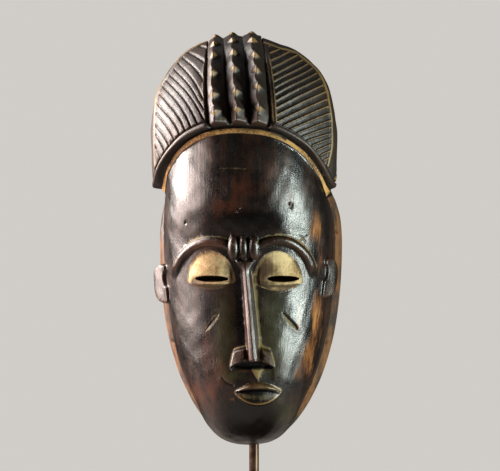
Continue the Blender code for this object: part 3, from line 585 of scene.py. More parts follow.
def eyes(out, x, z, paint):
    """Hollow sockets, the half-moon domes with their clay, and the dished edges of the slits."""
    for (middle, half, top, corner, bottom), (slit, _) in zip(EYES, SLITS):
        across = (x - middle) / (half + 4.5)
        up = np.where(z > corner, (z - corner) / (top + 3.2 - corner), (corner - z) / (corner - bottom + 9))
        away = np.sqrt(across**2 + up**2)
        out -= SOCKET_DEPTH * (1 - smooth(0.84, 1.03, away)) * smooth(-12, 4, z - bottom)
        across = (x - middle) / half
        up = np.where(z > corner, (z - corner) / (top - corner), (corner - z) / (corner - bottom))
        away = np.hypot(across, up)
        below = (corner - z) / np.maximum((corner - bottom) * (1 - across**2), 0.05)
        dome = np.where(z > corner, roll(away, 1.0), roll(across, 1.0) * roll(np.maximum(below, 0), 1.0))
        out += LENS_RISE * dome**0.9
        under_line = np.minimum((1 - np.abs(across)) * half, (1 - below) * 7)
        inside_lens = np.where(z > corner, (1 - away) * 20, under_line)
        lay(paint, "clay", inside_lens)
        # brown stains: at the dome's edge, in the lower lid's fold and over the inner corner
        edge = 1 - smooth(0.4, 3.4, inside_lens)
        fold = roll(z - SLIT_Z + 5.2, 1.9) * (1 - smooth(0.8, 1.0, np.abs(across)))
        inner_corner = (middle - 10 if middle > 0 else middle + 17, 144, 9, 13, 0.8)
        by_slit, under_slit = (slit - 13, SLIT_Z - 5, 9, 6, 0.9), (slit, SLIT_Z - 7.0, 16, 3.0, 0.8)
        inner = blots(x, z, (inner_corner, by_slit, under_slit))
        lay(paint, "stain", (inside_lens > -1) * np.maximum(np.maximum(0.75 * edge, fold), inner))
    for (middle, half), (eye, eye_half, *_) in zip(SLITS, EYES):
        opening = roll((x - middle) / (half + 1.5), 1.0)
        out -= SLIT_DISH * opening * (1 - smooth(1.2, 3.2, np.abs(z - SLIT_Z)))
        lid = roll(z - SLIT_Z + 6.4, 1.0) * (1 - smooth(0.75, 0.95, np.abs(x - eye) / eye_half))
        out -= LID_CUT * lid
    return out


print("the eyes' domes rise", LENS_RISE, "units from sockets", SOCKET_DEPTH, "deep")

# %% [markdown]
# ### Beads and nose
#
# The nose is a blade with a flat top, which spreads to the beads at its root and stands highest at its
# tip. A deep cut runs along its left foot, painted near-black as shade, and a shallow dusty one along the
# right. The nostrils are one block with round shoulders, cut away below, and a small wedge stands under it.

# %% The beads and the blade of the nose
BEAD_RISE, NOSE_START, NOSE_GROWTH = 5.6, 3.4, 13.0
LEFT_CUT, RIGHT_CUT = 6.4, 1.3


def beads(out, x, z, paint):
    """Three upright beads between the brows, with dust in the cuts between them."""
    for middle, width in BEADS:
        t = (z - (BEAD_LOW + BEAD_HIGH) / 2) / (BEAD_HIGH - BEAD_LOW) * 2
        away = np.abs(x - middle) / (width / 2)
        out = np.maximum(out, BEAD_RISE * roll(np.sqrt(away**2 + np.abs(t) ** 2.4), 1.0) ** 0.75)
    for middle in BEAD_GAPS:
        lay(paint, "dust", 0.8 * roll(x - middle, 0.8) * smooth(152, 155, z) * (1 - smooth(160, 166, z)))
    return out


def nose(out, x, z, paint):
    """The blade and the cuts along its feet; also how far each point is from its line, and its half width."""
    t = np.clip((NOSE_ROOT[1] - z) / (NOSE_ROOT[1] - NOSE_TIP[1]), -0.1, 1)
    line = NOSE_ROOT[0] + (NOSE_TIP[0] - NOSE_ROOT[0]) * t
    ridge = 2.5 + 5.0 * (1 - smooth(-0.02, 0.13, t)) ** 1.3 + 0.3 * t
    foot = ridge + 2.7 + 0.5 * t
    height = NOSE_START + NOSE_GROWTH * np.clip(t, 0, 1) ** 0.85
    aside = np.abs(x - line)
    away = aside - foot
    valley = smooth(NOSTRIL_BOX[3] - 2, NOSTRIL_BOX[3] + 4, z) * (1 - smooth(146, 154, z))
    left_wall = LEFT_CUT * smooth(-1.6, 0.4, away) * np.clip(1 - away / 6.2, 0, 1)
    right_groove = RIGHT_CUT * roll(away - 0.8, 3.4) * smooth(86, 100, z)
    out -= np.where(x < line, left_wall, right_groove) * valley
    # painted shade: near-black along the deep cut at the left foot of the nose
    lay(paint, "gap", (x < line) * smooth(-1.0, -0.2, away) * (1 - smooth(4.6, 6.2, away)) * valley)
    on = smooth(NOSE_TIP[1] + 4.6, NOSE_TIP[1] + 6.0, z) * (1 - smooth(BEAD_LOW - 1.0, BEAD_LOW + 0.6, z))
    blade = height * np.clip((foot - aside) / (foot - ridge), 0, 1) ** 1.25
    blade = blade - 1.8 * np.clip(aside / ridge, 0, 1) ** 1.2
    out = np.maximum(out, np.maximum(blade, 0) * on)
    lay(paint, "dust", 0.9 * roll(x - line - foot - 0.3, 1.6) * smooth(77, 83, z) * (1 - smooth(138, 150, z)))
    return out, aside, ridge


print("the nose stands", NOSE_START + NOSE_GROWTH, "units high at its tip")

# %% The nostrils and the wedge under them
NOSTRIL_RISE, UNDERCUT, WEDGE_RISE = 5.6, 4.4, 2.2


def nostrils(out, x, z, aside, ridge, paint):
    """A block with round shoulders and an arched undercut, and the wedge of the philtrum below it."""
    left, right, low, high = NOSTRIL_BOX
    middle, half = (left + right) / 2, (right - left) / 2
    across = np.abs(x - middle) / half
    shoulder = high - 4.5 * np.clip(across, 0, 1) ** 2.0
    arch = low + 7.0 * (1 - np.clip(across, 0, 1) ** 2)
    wing = across / (0.74 + 0.26 * np.clip((high - z) / (high - low), 0, 1) ** 0.7)
    block = smooth(arch - 0.5, arch + 0.4, z) * (1 - smooth(-2.2, 1.0, z - shoulder))
    block = block * (1 - smooth(0.90, 1.0, wing))
    swell = NOSTRIL_RISE + 5.6 * np.clip((high - z) / (high - low), 0, 1) - 3.2 * across**2
    out = np.maximum(out, block * swell * (1 - 0.34 * roll(aside - 5.0, 1.8)))
    shoulder_line = roll(z - shoulder - 0.4, 1.0) * (wing < 1.05)
    side_line = roll((wing - 1.02) * half, 0.9) * (z > low) * (z < high - 5)
    lay(paint, "dust", 0.75 * np.maximum(shoulder_line, side_line) * (aside > ridge + 1))
    # the undercut, with painted shade beneath the block
    under = (1 - smooth(arch - 0.9, arch - 0.1, z)) * (1 - smooth(0.86, 1.0, across))
    out -= (0.9 * smooth(52, 63, z) + UNDERCUT * smooth(64.9, 66.3, z)) * under
    shade = smooth(64.9, 66.0, z) * (1 - smooth(arch - 0.2, arch + 0.4, z)) * (1 - smooth(0.96, 1.02, across))
    lay(paint, "gap", shade)
    # the wedge
    a, b, base_z, tip_x, tip_z = PHILTRUM
    t = np.clip((z - tip_z) / (base_z - tip_z), 0, 1)
    inside = np.minimum(x - tip_x - (a - tip_x) * t, tip_x + (b - tip_x) * t - x)
    wedge = smooth(0, 0.8, inside) * smooth(tip_z, tip_z + 1, z) * (1 - smooth(base_z, base_z + 1, z))
    out += WEDGE_RISE * wedge * np.clip(inside / 3.0, 0, 1) ** 0.5
    lay(paint, "dust", 1.1 * wedge * np.clip(inside / 1.5, 0, 1))
    return out


print("the nostrils' block is", round(NOSTRIL_BOX[1] - NOSTRIL_BOX[0], 1), "units wide")

# %% [markdown]
# ### Mouth, marks and ears
#
# Both lips are bounded by arcs that meet at the corners: the upper one is rolled, the lower one is a
# dish with a raised, worn rim. The cheeks carry two short cuts, and time has added scratches, pits and a
# short crack. Scratches could be left to a bump texture, but as geometry they stay when the model is
# exported. An ear is half a disc that stands off the side, notched toward the cheek.

# %% The mouth
LIP_RISE, LOWER_RISE, MOUTH_CUT, CHIN_SWELL = 3.6, 3.0, 1.6, 3.2


def mouth(out, x, z, paint):
    """A rolled upper lip, a dished lower lip and painted shade along the line between them."""
    cx, cz, half = MOUTH
    across = np.clip(1 - ((x - cx) / half) ** 2, 0, 1)
    top, line, bottom = (cz + (place - cz) * across for place in (MOUTH_TOP, MOUTH_LINE, MOUTH_BOTTOM))
    within = np.abs(x - cx) < half
    upper = roll((z - (top + line) / 2) / np.maximum((top - line) / 2, 0.3), 1.0)
    t = np.clip((line - z) / np.maximum(line - bottom, 0.3), 0, 1)
    lower = (z < line) & (z > bottom)
    rolled = out + LIP_RISE * upper * np.sqrt(across) + 1.0 * across
    out = np.where(within & (z > line) & (z < top), rolled, out)
    out = np.where(within & lower, out + (0.2 + LOWER_RISE * t**0.8) * across**0.6, out)
    out -= MOUTH_CUT * within * roll(z - line + 0.8, 1.2) * across**0.5
    out += CHIN_SWELL * within * (1 - smooth(0, 2.6, bottom - z)) * (z <= bottom) * across**0.6
    # tan on the upper lip: partly worn wood, partly a painted highlight that grows toward the right
    lip = (0.5 + 0.3 * smooth(0, half, x - cx)) * roll(z - (top + line) / 2 - 0.5, 3.4) * (z > line)
    lay(paint, "tan_face", within * np.maximum(lip, 0.75 * roll(z - bottom, 1.5)))
    lay(paint, "dust", 0.62 * within * lower * smooth(0.15, 0.45, t) * (1 - smooth(0.72, 0.95, t)))
    lay(paint, "gap", within * roll(z - line + 1.4, 1.9) * across**0.3)
    return out


print("the mouth is", 2 * MOUTH[2], "units wide")

# %% Cheek marks, scratches and pits
SCAR_HALF, SCAR_CUTS, SCAR_LIT_TAN = 2.1, (0.4, 1.5), (1.5, 0.9)  # left and right cheek
PIT_RADIUS, PIT_DEPTH = 0.95, 0.8
CRACK = 0.5  # a scratch deeper than this is a crack: painted dark as shade, and too narrow for dust


def marks(out, x, z, paint):
    """A cut on each cheek, scratches shallower than a fingernail, and pits in the forehead, with painted
    shade in the cuts, the crack and the pits.
    """
    for (a, b), cut, lit_tan in zip(SCARS, SCAR_CUTS, SCAR_LIT_TAN):
        away, along = to_curve(x, z, (a, b))
        half = SCAR_HALF * np.sqrt(np.clip(1 - (2 * along - 1) ** 2, 0.03, 1))
        out -= cut * np.clip(1 - away / half, 0, 1)
        offset = ((x - a[0]) * (b[1] - a[1]) - (z - a[1]) * (b[0] - a[0])) / math.dist(a, b)
        # painted light and shade: tan, partly dust, on the side of each cut that faces the light, near-black
        # on the side in shade
        lit = smooth(-0.5, 0.5, offset) if a[0] > 0 else smooth(0.35, 0.7, away / half)
        inside = roll(away, half + 0.4) * (1 - smooth(0.85, 1.0, np.abs(2 * along - 1)))
        lay(paint, "dust", lit_tan * lit * inside)
        lay(paint, "gap", 0.8 * (1 - lit) * inside)
    for depth, width, knots in SCRATCHES:
        away, along = to_curve(x, z, rounded(knots))
        scratch = roll(away, width) * (1 - smooth(0.85, 1.0, np.abs(2 * along - 1)))
        out -= depth * scratch
        if depth < CRACK:
            lay(paint, "dust", 0.6 * scratch)
        else:
            lay(paint, "gap", 0.8 * scratch)
    # the pits are painted near-black, as shade
    for px, pz in PITS:
        pit = roll(np.hypot(x - px, z - pz), PIT_RADIUS)
        out -= PIT_DEPTH * pit
        lay(paint, "gap", pit)
    return out


print("marks:", len(SCARS), "cuts,", len(SCRATCHES), "scratches and", len(PITS), "pits")


# %% The ears, and the whole face
def ears(out, x, d, z):
    """Half discs, notched toward the cheek and higher at their back edge."""
    for side, forward, height, stands in EARS:
        on = smooth(0, 4, x * side - 40)
        u, v = (d - forward) / EAR_REACH, (z - height) / EAR_HALF
        disc = 1 - smooth(0.90, 1.02, np.sqrt(u**2 + v**2))
        notch = smooth(0.0, 0.14, u - 0.34 + 0.30 * roll(v - 0.25, 0.40))
        lift = 0.30 + 0.70 * (1 - smooth(-0.9, 0.36, u))
        out += on * stands * disc * (1 - notch) * lift
    return out


def face(x, d, z, paint):
    """All the features, in the order in which they are cut."""
    for name, bare in (("dust", 0.0), ("tan_face", 0.0), ("stain", 0.0), ("clay", -9.0)):
        paint[name] = np.full(x.shape, bare)
    out = brows(np.zeros(x.shape), x, z, paint)
    out = beads(eyes(out, x, z, paint), x, z, paint)
    out, aside, ridge = nose(out, x, z, paint)
    out = nostrils(out, x, z, aside, ridge, paint)
    out = marks(mouth(out, x, z, paint), x, z, paint)
    return ears(out, x, d, z)


print("ears stand", [ear[3] for ear in EARS], "units off the sides")

# %% [markdown]
# ## Wear, stains and the whole relief
#
# Handling has rubbed the patina thin: red-brown wood shows on the forehead, the left brow and the cheeks,
# and orange-brown streaks run down the right side. A grey-green tone dulls the inner cheeks, and painted
# shade makes the low forehead and the chin almost black. The bare strip behind the stained face, along
# the rim, was never stained, apart from a smear at the upper left. All these are soft blots, laid out as
# the viewer sees them; noise in the finish will break their edges.

# %% Where the wear and the stains are
RED_BLOTS = (  # across, up, half width, half height, strength
    (-23, 194, 16, 8, 0.9), (0, 208, 19, 12, 0.75), (20, 223, 15, 11, 0.65), (-36, 84, 8, 22, 0.7),
    (-24, 58, 12, 12, 0.8), (-38, 42, 18, 15, 0.7), (44, 66, 9, 20, 0.5), (30, 205, 12, 12, 0.4),
    # the first blot below, on the nose's left flank, is partly red-brown wood and partly a painted warm tint
    # of the light there
    (-3, 108, 4, 42, 0.8), (-33, 163, 18, 5, 0.9),
)
WEAR_BLOTS = (
    (53, 178, 8, 20, 1.05), (59, 150, 5, 30, 0.62), (56, 106, 8, 30, 1.2), (40, 106, 2.8, 20, 0.85),
    (49, 74, 8, 28, 1.1), (40, 54, 8, 13, 0.85), (-14, 36, 8, 3, 0.6), (-8, 47, 6, 4, 0.7),
    (-46, 30, 9, 14, 0.55), (36, 22, 14, 10, 0.35),
)
OLIVE_BLOTS = (  # a grey-green tone in the low places
    (-21, 92, 11, 38, 0.95), (21, 96, 15, 40, 0.9), (-16, 56, 14, 7, 0.8), (14, 58, 12, 7, 0.7),
    (46, 176, 16, 14, 0.6), (26, 24, 18, 14, 0.6),
)
SHADE_BLOTS = (  # painted shade, almost black: low on the forehead and on the chin
    (0, 182, 36, 11, 0.9), (-1, 24, 24, 18, 1.1), (6, 10, 26, 12, 0.9), (-16, 60, 4, 6, 0.5),
)
STRIP_STAINS = ((-76, 195, 10, 50, 3.0),)  # stain smeared on the bare strip
WEAR_GAIN = 1.6
FACE_BLOTS = (("red", RED_BLOTS, 1), ("wear", WEAR_BLOTS, WEAR_GAIN), ("painted_shade", SHADE_BLOTS, 1),
              ("olive", OLIVE_BLOTS, 1))
print("blots:", {name: len(places) for name, places, _ in FACE_BLOTS})

# %% The whole relief
CHIN_END, STRIP_FULL = (6, 26), 3.0  # where the strip ends above the chin, and its deepest paint
LUMPS, FINE_LUMPS = (0.28, 23, 3), (0.10, 9, 7)  # height, size and seed of what the tools left uneven


def relief(points, normals, rise, paint):
    """How far each point of the plain outside moves along its normal, and the paint of the whole skin."""
    x, d, z = points[..., 0], points[..., 1], points[..., 2]
    below = 1 - smooth(-9, -5, rise)
    # the bare strip along the rim is bevelled toward the face
    edge = -RIM_BEVEL * np.clip(d / STRIP, 0, 1) * (1 - smooth(STRIP, 62, d)) * smooth(4, 40, z)
    hair = coiffure(points, normals, rise, paint)
    skin = below * face(x, d, z, paint)
    across, up = seen(points)
    face_only = 1 - smooth(-6.5, -5, rise)
    for name, places, gain in FACE_BLOTS:
        paint[name] = gain * blots(across, up, places) * face_only
    strip = np.minimum(STRIP + 0.3 - d, STRIP_FULL) - 8 * smooth(-4.4, -3.0, rise)
    paint["strip"] = strip - 8 * (1 - smooth(*CHIN_END, z)) - blots(across, up, STRIP_STAINS)
    paint["tan"] = np.maximum(paint["tan"], paint.pop("tan_face") * face_only)
    paint["dust"] = paint["dust"] * face_only
    by_hand = sum(height * ripple(points, size, seed) for height, size, seed in (LUMPS, FINE_LUMPS))
    by_hand *= 1 - 0.6 * (paint["clay"] > -2)
    height = hair + skin + edge * (1 - smooth(-4, 0, rise)) + by_hand * smooth(3, 12, d)
    cells = max(1, round(0.9 * points.shape[0] / 440))
    paint["edge"] = np.clip((height - blurred(height, 2 * cells)) / 0.5, -1, 1)
    return height


print("the bare strip is", STRIP, "units wide")

# %% [markdown]
# ## The skin and the hollow
#
# The skin is the plain grid, moved along its normals by the relief. The hollow is a smaller copy of the
# plain form, scalloped as a gouge leaves it: a carver hollows a mask to an even wall by feel, and follows
# the outside only roughly. Both are still numbers; the next step gives them to Blender.

# %% The skin and the hollow as grids of points
SCALLOP = (0.35, 17, 11)  # depth, size and seed of the gouge's scallops


def outside(rows, columns):
    """The carved skin: a grid of points, the levels and shares of its rows and columns, and its paint."""
    levels, shares = even_levels(rows), np.linspace(0, 1, columns)
    points = base_grid(levels, shares)
    steps = np.linalg.norm(np.diff(points, axis=0), axis=-1)
    rise = np.concatenate([np.zeros((1, columns)), np.cumsum(steps, axis=0)])
    rise -= rise[np.argmin(np.abs(levels - HAIRLINE))]
    normals = normals_of(points)
    paint = {}
    moved = points + normals * relief(points, normals, rise, paint)[..., None]
    moved[:, (0, -1), 1] = 0
    moved[(0, -1), :, 1] = 0
    moved[..., 1] = np.maximum(moved[..., 1], 0)
    return moved, levels, shares, paint


def inside(levels, shares):
    """The hollow: a smaller copy of the plain form, scalloped as a gouge leaves it."""
    points = base_grid(levels, shares)
    half, depth = UNIT_HALF * SCALE[0], UNIT_DEPTH * SCALE[1]
    height = MIDDLE * SCALE[2]
    shrink = np.array([1 - SIDE_WALL / half, 1 - FRONT_WALL / depth, 1 - TOP_WALL / height])
    deep, wide, seed = SCALLOP
    scallops = deep * np.abs(ripple(points * [1, 1, 0.5], wide, seed)) * smooth(2, 10, points[..., 1])
    points = points - normals_of(points) * scallops[..., None]
    return (points - [0, 0, MIDDLE]) * shrink + [0, 0, MIDDLE]


def placed(points):
    """From carving units to metres, in the frame."""
    local = np.stack([points[..., 0], -points[..., 1], points[..., 2]], axis=-1) * SCALE
    return local + [0, RIM_Y, CHIN_Z]


rows, columns = ((761, 521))
skin_points, levels, shares, paint = outside(rows, columns)
print("skin of", rows, "by", columns, "points; paint:", sorted(paint))

# %% [markdown]
# ## From heights to one closed mesh
#
# The skin starts as a Blender grid whose points move to the carved places, and the hollow is a second,
# coarser grid. Their edges meet round the flat rim, where a ring of faces joins them, because a
# wall of real thickness can't come from Solidify on such deep carving: it would push through itself.
# Decimate then spends faces where the carving turns and saves them on the smooth forehead, and a
# Boolean pierces the eye slits and the three small holes that once held a costume's cord.

# %% Skin, hollow and rim
HOLLOW_STEP = 4


def grid_sheet(shape, points):
    """A Blender grid whose points take these places; returns its vertices as rows."""
    high, wide = points.shape[:2]
    verts = bmesh.ops.create_grid(shape, x_segments=wide - 1, y_segments=high - 1, size=1)["verts"]
    for vert, place in zip(verts, points.reshape(-1, 3)):
        vert.co = place
    return [verts[k * wide:(k + 1) * wide] for k in range(high)]


def edge_loop(sheet):
    """The vertices round the edge of a sheet."""
    loop = list(sheet[0][:-1]) + [row[-1] for row in sheet[:-1]]
    return loop + list(sheet[-1][:0:-1]) + [row[0] for row in sheet[:0:-1]]


def mesh_object(name, shape, turn_out=True):
    """A bmesh made into an object at the origin, its faces turned outward."""
    if turn_out:
        bmesh.ops.recalc_face_normals(shape, faces=shape.faces)
    mesh = bpy.data.meshes.new(name)
    shape.to_mesh(mesh)
    shape.free()
    mesh.shade_smooth()
    obj = bpy.data.objects.new(name, mesh)
    bpy.context.scene.collection.objects.link(obj)
    return obj


shape = bmesh.new()
skin = grid_sheet(shape, placed(skin_points))
lining = grid_sheet(shape, placed(inside(levels[::HOLLOW_STEP], shares[::HOLLOW_STEP])))
out_loop, in_loop = edge_loop(skin), edge_loop(lining)
for k, a in enumerate(in_loop):
    b = in_loop[(k + 1) % len(in_loop)]
    near = [out_loop[(k * HOLLOW_STEP + n) % len(out_loop)] for n in range(HOLLOW_STEP + 1)]
    for n in range(HOLLOW_STEP // 2):
        shape.faces.new((a, near[n + 1], near[n]))
    shape.faces.new((a, b, near[HOLLOW_STEP // 2]))
    for n in range(HOLLOW_STEP // 2, HOLLOW_STEP):
        shape.faces.new((b, near[n + 1], near[n]))
mask = mesh_object("carved_mask", shape)
print("closed mesh of", len(mask.data.vertices), "points")

# %% Fewer faces where the form is smooth
FACES_WANTED = 186000


def apply_modifiers(obj):
    """Makes the object's modifiers part of its mesh."""
    graph = bpy.context.evaluated_depsgraph_get()
    made = bpy.data.meshes.new_from_object(obj.evaluated_get(graph))
    old = obj.data
    obj.modifiers.clear()
    obj.data = made
    bpy.data.meshes.remove(old)
    made.name = obj.name


thin = mask.modifiers.new("fewer faces", "DECIMATE")
thin.ratio = FACES_WANTED / sum(len(face.vertices) - 2 for face in mask.data.polygons)
apply_modifiers(mask)
print("thinned to", len(mask.data.polygons), "faces")

# %% Pierce the eye slits and the rim's holes
SLIT_HEIGHT, RIM_HOLE_RADIUS, RIM_HOLE_INSET = 0.0052, 0.0018, 0.0052
RIM_HOLES = ((1, 174.0), (1, 84.0), (-1, 84.0))
drills = bmesh.new()
to_y = Matrix.Rotation(math.pi / 2, 4, "X")
to_x = Matrix.Rotation(math.pi / 2, 4, "Y")
for middle, half in SLITS:
    where = Vector((middle * SCALE[0], RIM_Y - MASK_DEPTH, CHIN_Z + SLIT_Z * SCALE[2]))
    flat = Matrix.Diagonal((half * SCALE[0], 1, SLIT_HEIGHT / 2, 1))
    bmesh.ops.create_cone(drills, cap_ends=True, segments=48, radius1=1, radius2=1, depth=2 * MASK_DEPTH,
                          matrix=Matrix.Translation(where) @ flat @ to_y)
for side, height in RIM_HOLES:
    where = Vector((side * MASK_WIDTH / 2, RIM_Y - RIM_HOLE_INSET, CHIN_Z + height * SCALE[2]))
    bmesh.ops.create_cone(drills, cap_ends=True, segments=20, radius1=RIM_HOLE_RADIUS,
                          radius2=RIM_HOLE_RADIUS, depth=MASK_WIDTH / 4,
                          matrix=Matrix.Translation(where) @ to_x)
cutter = mesh_object("drills", drills)
pierce = mask.modifiers.new("pierce", "BOOLEAN")
pierce.operation, pierce.solver, pierce.object = "DIFFERENCE", "EXACT", cutter
apply_modifiers(mask)
bpy.data.objects.remove(cutter)
mask.data.shade_smooth()
print("pierced:", len(mask.data.polygons), "faces")

# %% [markdown]
# ## Paint on the carved surface
#
# Each kind of paint is a number at every point of the fine grid. The thinned mesh has other points, so
# each of them takes the numbers of the nearest grid point; points of the hollow, deeper than any skin
# point is near, take none. Stored as attributes, the numbers follow the surface wherever it goes.

# %% Carry the paint to the mesh
NEAR_SKIN, HOLLOW_EDGE, SLIT_WALL = 1.2, (0.8, 2.0), 0.35  # millimetres from the nearest point of the skin
SLIT_MARGIN = 0.0005
UNPAINTED = {"clay": -9.0, "band": -9.0, "strip": 3.0}
places = placed(skin_points).reshape(-1, 3)
tree = KDTree(len(places))
for number, place in enumerate(places):
    tree.insert(place, number)
tree.balance()
found = [tree.find(vert.co)[1:] for vert in mask.data.vertices]
nearest = np.array([pair[0] for pair in found])
apart = np.array([pair[1] for pair in found]) * 1000
on_skin = apart < NEAR_SKIN
for name, values in paint.items():
    layer = mask.data.attributes.new(name, "FLOAT", "POINT")
    carried = np.where(on_skin, values.reshape(-1)[nearest], UNPAINTED.get(name, 0.0))
    layer.data.foreach_set("value", carried.astype(np.float32))
layer = mask.data.attributes.new("hollow", "FLOAT", "POINT")
layer.data.foreach_set("value", smooth(*HOLLOW_EDGE, apart).astype(np.float32))
spots = np.array([vert.co for vert in mask.data.vertices])
# painted shade: the walls of the eye slits are painted near-black, for the dark hollow seen through them
in_slit = np.zeros(len(spots), bool)
for middle, half in SLITS:
    beside = np.abs(spots[:, 0] - middle * SCALE[0]) < half * SCALE[0] + SLIT_MARGIN
    level_with = np.abs(spots[:, 2] - CHIN_Z - SLIT_Z * SCALE[2]) < SLIT_HEIGHT / 2 + SLIT_MARGIN
    in_slit |= beside & level_with & (spots[:, 1] < RIM_Y - MASK_DEPTH / 3) & (apart > SLIT_WALL)
gap = np.zeros(len(spots), np.float32)
mask.data.attributes["gap"].data.foreach_get("value", gap)
mask.data.attributes["gap"].data.foreach_set("value", np.where(in_slit, 1, gap).astype(np.float32))
print("painted", int(on_skin.sum()), "points of the skin and", int(in_slit.sum()), "in the slits")

# %% [markdown]
# ## Finishes
#
# Every finish below is made of Blender's shader nodes. Colours are written as the hex values that a
# picture editor shows and turned to linear light by one function, and one small function adds a node
# with its settings and its links. Patterns read Object coordinates, which are metres on the piece, so
# the size of a grain or a scratch can be written as a real size in millimetres.

# %% Colour and node helpers
def linear(code):
    """An sRGB hex colour as linear light with full alpha."""
    parts = [int(code[k:k + 2], 16) / 255 for k in (1, 3, 5)]
    return tuple(c / 12.92 if c <= 0.04045 else ((c + 0.055) / 1.055) ** 2.4 for c in parts) + (1.0,)


def node(tree, kind, inputs=None, **settings):
    """Adds a shader node; inputs maps a socket's name or number to a value or to another node's output."""
    made = tree.nodes.new(kind)
    for name, value in settings.items():
        setattr(made, name, value)
    for key, value in (inputs or {}).items():
        if isinstance(value, bpy.types.NodeSocket):
            tree.links.new(value, made.inputs[key])
        else:
            made.inputs[key].default_value = value
    return made


def finish(name):
    """A new material with an empty node tree: the material, its tree and its shader."""
    made = bpy.data.materials.new(name)
    made.use_nodes = True
    tree = made.node_tree
    tree.nodes.clear()
    shader = node(tree, "ShaderNodeBsdfPrincipled")
    out = node(tree, "ShaderNodeOutputMaterial", {"Surface": shader.outputs[0]})
    out.location = (300, 0)
    return made, tree, shader


print("clay as linear light:", [round(v, 3) for v in linear("#E8CB92")[:3]])

# %% [markdown]
# ## Oiled patina on carved wood
#
# The mask's wood is pale and close-grained, stained nearly black and polished by years of oil and
# hands. The polish gives broad soft lights with speckled edges; the grain runs upright and shows as fine
# streaks; where the stain has rubbed thin the wood is red-brown, and where it is gone it is orange. We
# build the colour from the bottom layer up, and each layer's edge is broken by noise, because wear is
# never a clean line. Grain finer than a picture's pixel would vanish, so it is drawn 1.5 mm wide.
#
# The layers are a table, because they all work in the same way: the paint's number, plus a share of a
# noise, becomes a soft step from none to whole, and that much of the layer's colour covers what is below.

# %% Grain and noise of the wood
patina, tree, shader = finish("oiled_patina_wood")
spot = node(tree, "ShaderNodeTexCoord").outputs["Object"]
upright = node(tree, "ShaderNodeMapping", {"Vector": spot, "Scale": (1, 1, 0.09)}).outputs[0]
NOISES = (  # name, coordinates, lumps to the metre, detail, roughness
    ("grain", upright, 650, 5, 0.62),
    ("streaks", upright, 170, 7, 0.6),
    ("cloud", spot, 38, 6, 0.6),
    ("speckle", spot, 900, 3, 0.7),
)
BLENDS = (  # name, first noise, second noise, share of the second
    ("mottle", "cloud", "streaks", 1.0),
    ("figure", "cloud", "streaks", 0.8),
    ("drift", "cloud", "streaks", 0.6),
    ("smear", "cloud", "streaks", 0.5),
    ("fibre", "streaks", "grain", 0.6),
    ("haze", "cloud", "speckle", 1.3),
    ("powder", "cloud", "speckle", 0.8),
    ("chalk", "cloud", "speckle", 0.5),
)
noise = {}
for name, where, scale, detail, rough in NOISES:
    noise[name] = node(tree, "ShaderNodeTexNoise",
                       {"Vector": where, "Scale": scale, "Detail": detail, "Roughness": rough}).outputs[0]
for name, first, second, share in BLENDS:
    noise[name] = node(tree, "ShaderNodeMath", {0: noise[second], 1: share, 2: noise[first]},
                       operation="MULTIPLY_ADD").outputs[0]
print("noises:", sorted(noise))

# %% Colours with two tones
TONES = (  # name, one tone, the other, the noise between them, where the other begins and is whole
    ("wood", "#0C0807", "#22140D", "mottle", 0.85, 1.2),
    ("bare", "#643E19", "#281808", "mottle", 0.82, 1.15),
    ("band", "#B0864A", "#4A300F", "powder", 0.74, 1.06),
    ("clay", "#C9AF82", "#86693C", "chalk", 0.68, 1.0),
    ("raw", "#6A4526", "#2E1C10", "figure", 0.7, 1.15),
)
colour = {}
for name, one, other, between, low, high in TONES:
    share = node(tree, "ShaderNodeMapRange", {"Value": noise[between], "From Min": low, "From Max": high},
                 interpolation_type="SMOOTHSTEP").outputs[0]
    colour[name] = node(tree, "ShaderNodeMix", {0: share, 6: linear(one), 7: linear(other)},
                        data_type="RGBA").outputs[2]
print("tones:", sorted(colour))

# %% Layers of paint, from the stain up
LAYERS = (  # ground, paint, noise, its share, where the layer begins and is whole, strength, colour
    ("wood", "red", "mottle", 2.2, 2.2, 3.6, 0.75, "#45200E"),
    ("wood", "hair", None, 0, 0, 1, 0.6, "#241B14"),
    ("wood", "olive", "smear", 1.0, 0.9, 1.7, 0.6, "#38361F"),
    # painted shade, almost black, low on the forehead and on the chin
    ("wood", "painted_shade", "cloud", 1.2, 0.75, 1.35, 0.9, "#040303"),
    ("wood", "wear", "fibre", 3.0, 3.3, 4.1, 0.85, "#6E4322"),
    ("wood", "wear", "fibre", 3.0, 3.8, 4.7, 0.8, "#A8753F"),
    ("wood", "edge", "cloud", 1.6, 1.1, 2.1, 0.4, "#452A1A"),
    ("wood", "tan", "smear", 0.9, 0.95, 1.6, 0.85, "#7C6238"),
    ("wood", "dust", "drift", 1.3, 1.35, 2.05, 0.8, "#7A683A"),
    # painted shade: near-black in the cuts, the gap under the lip, the mouth's line, the pits and the eye
    # slits
    ("wood", "gap", None, 0, 0, 1, 1.0, "#060404"),
    ("wood", "strip", "fibre", 5.0, 3.6, 5.2, 1.0, "bare"),
    ("wood", "band", "cloud", 1.4, 0.7, 1.3, 1.0, "band"),
    ("clay", "stain", "mottle", 1.6, 1.7, 2.6, 0.92, "#33200C"),
    ("wood", "clay", "cloud", 2.6, 1.3, 2.1, 1.0, "clay"),
    ("wood", "hollow", None, 0, 0, 1, 1.0, "raw"),
)
cover = {}  # how much each paint covers, before its strength
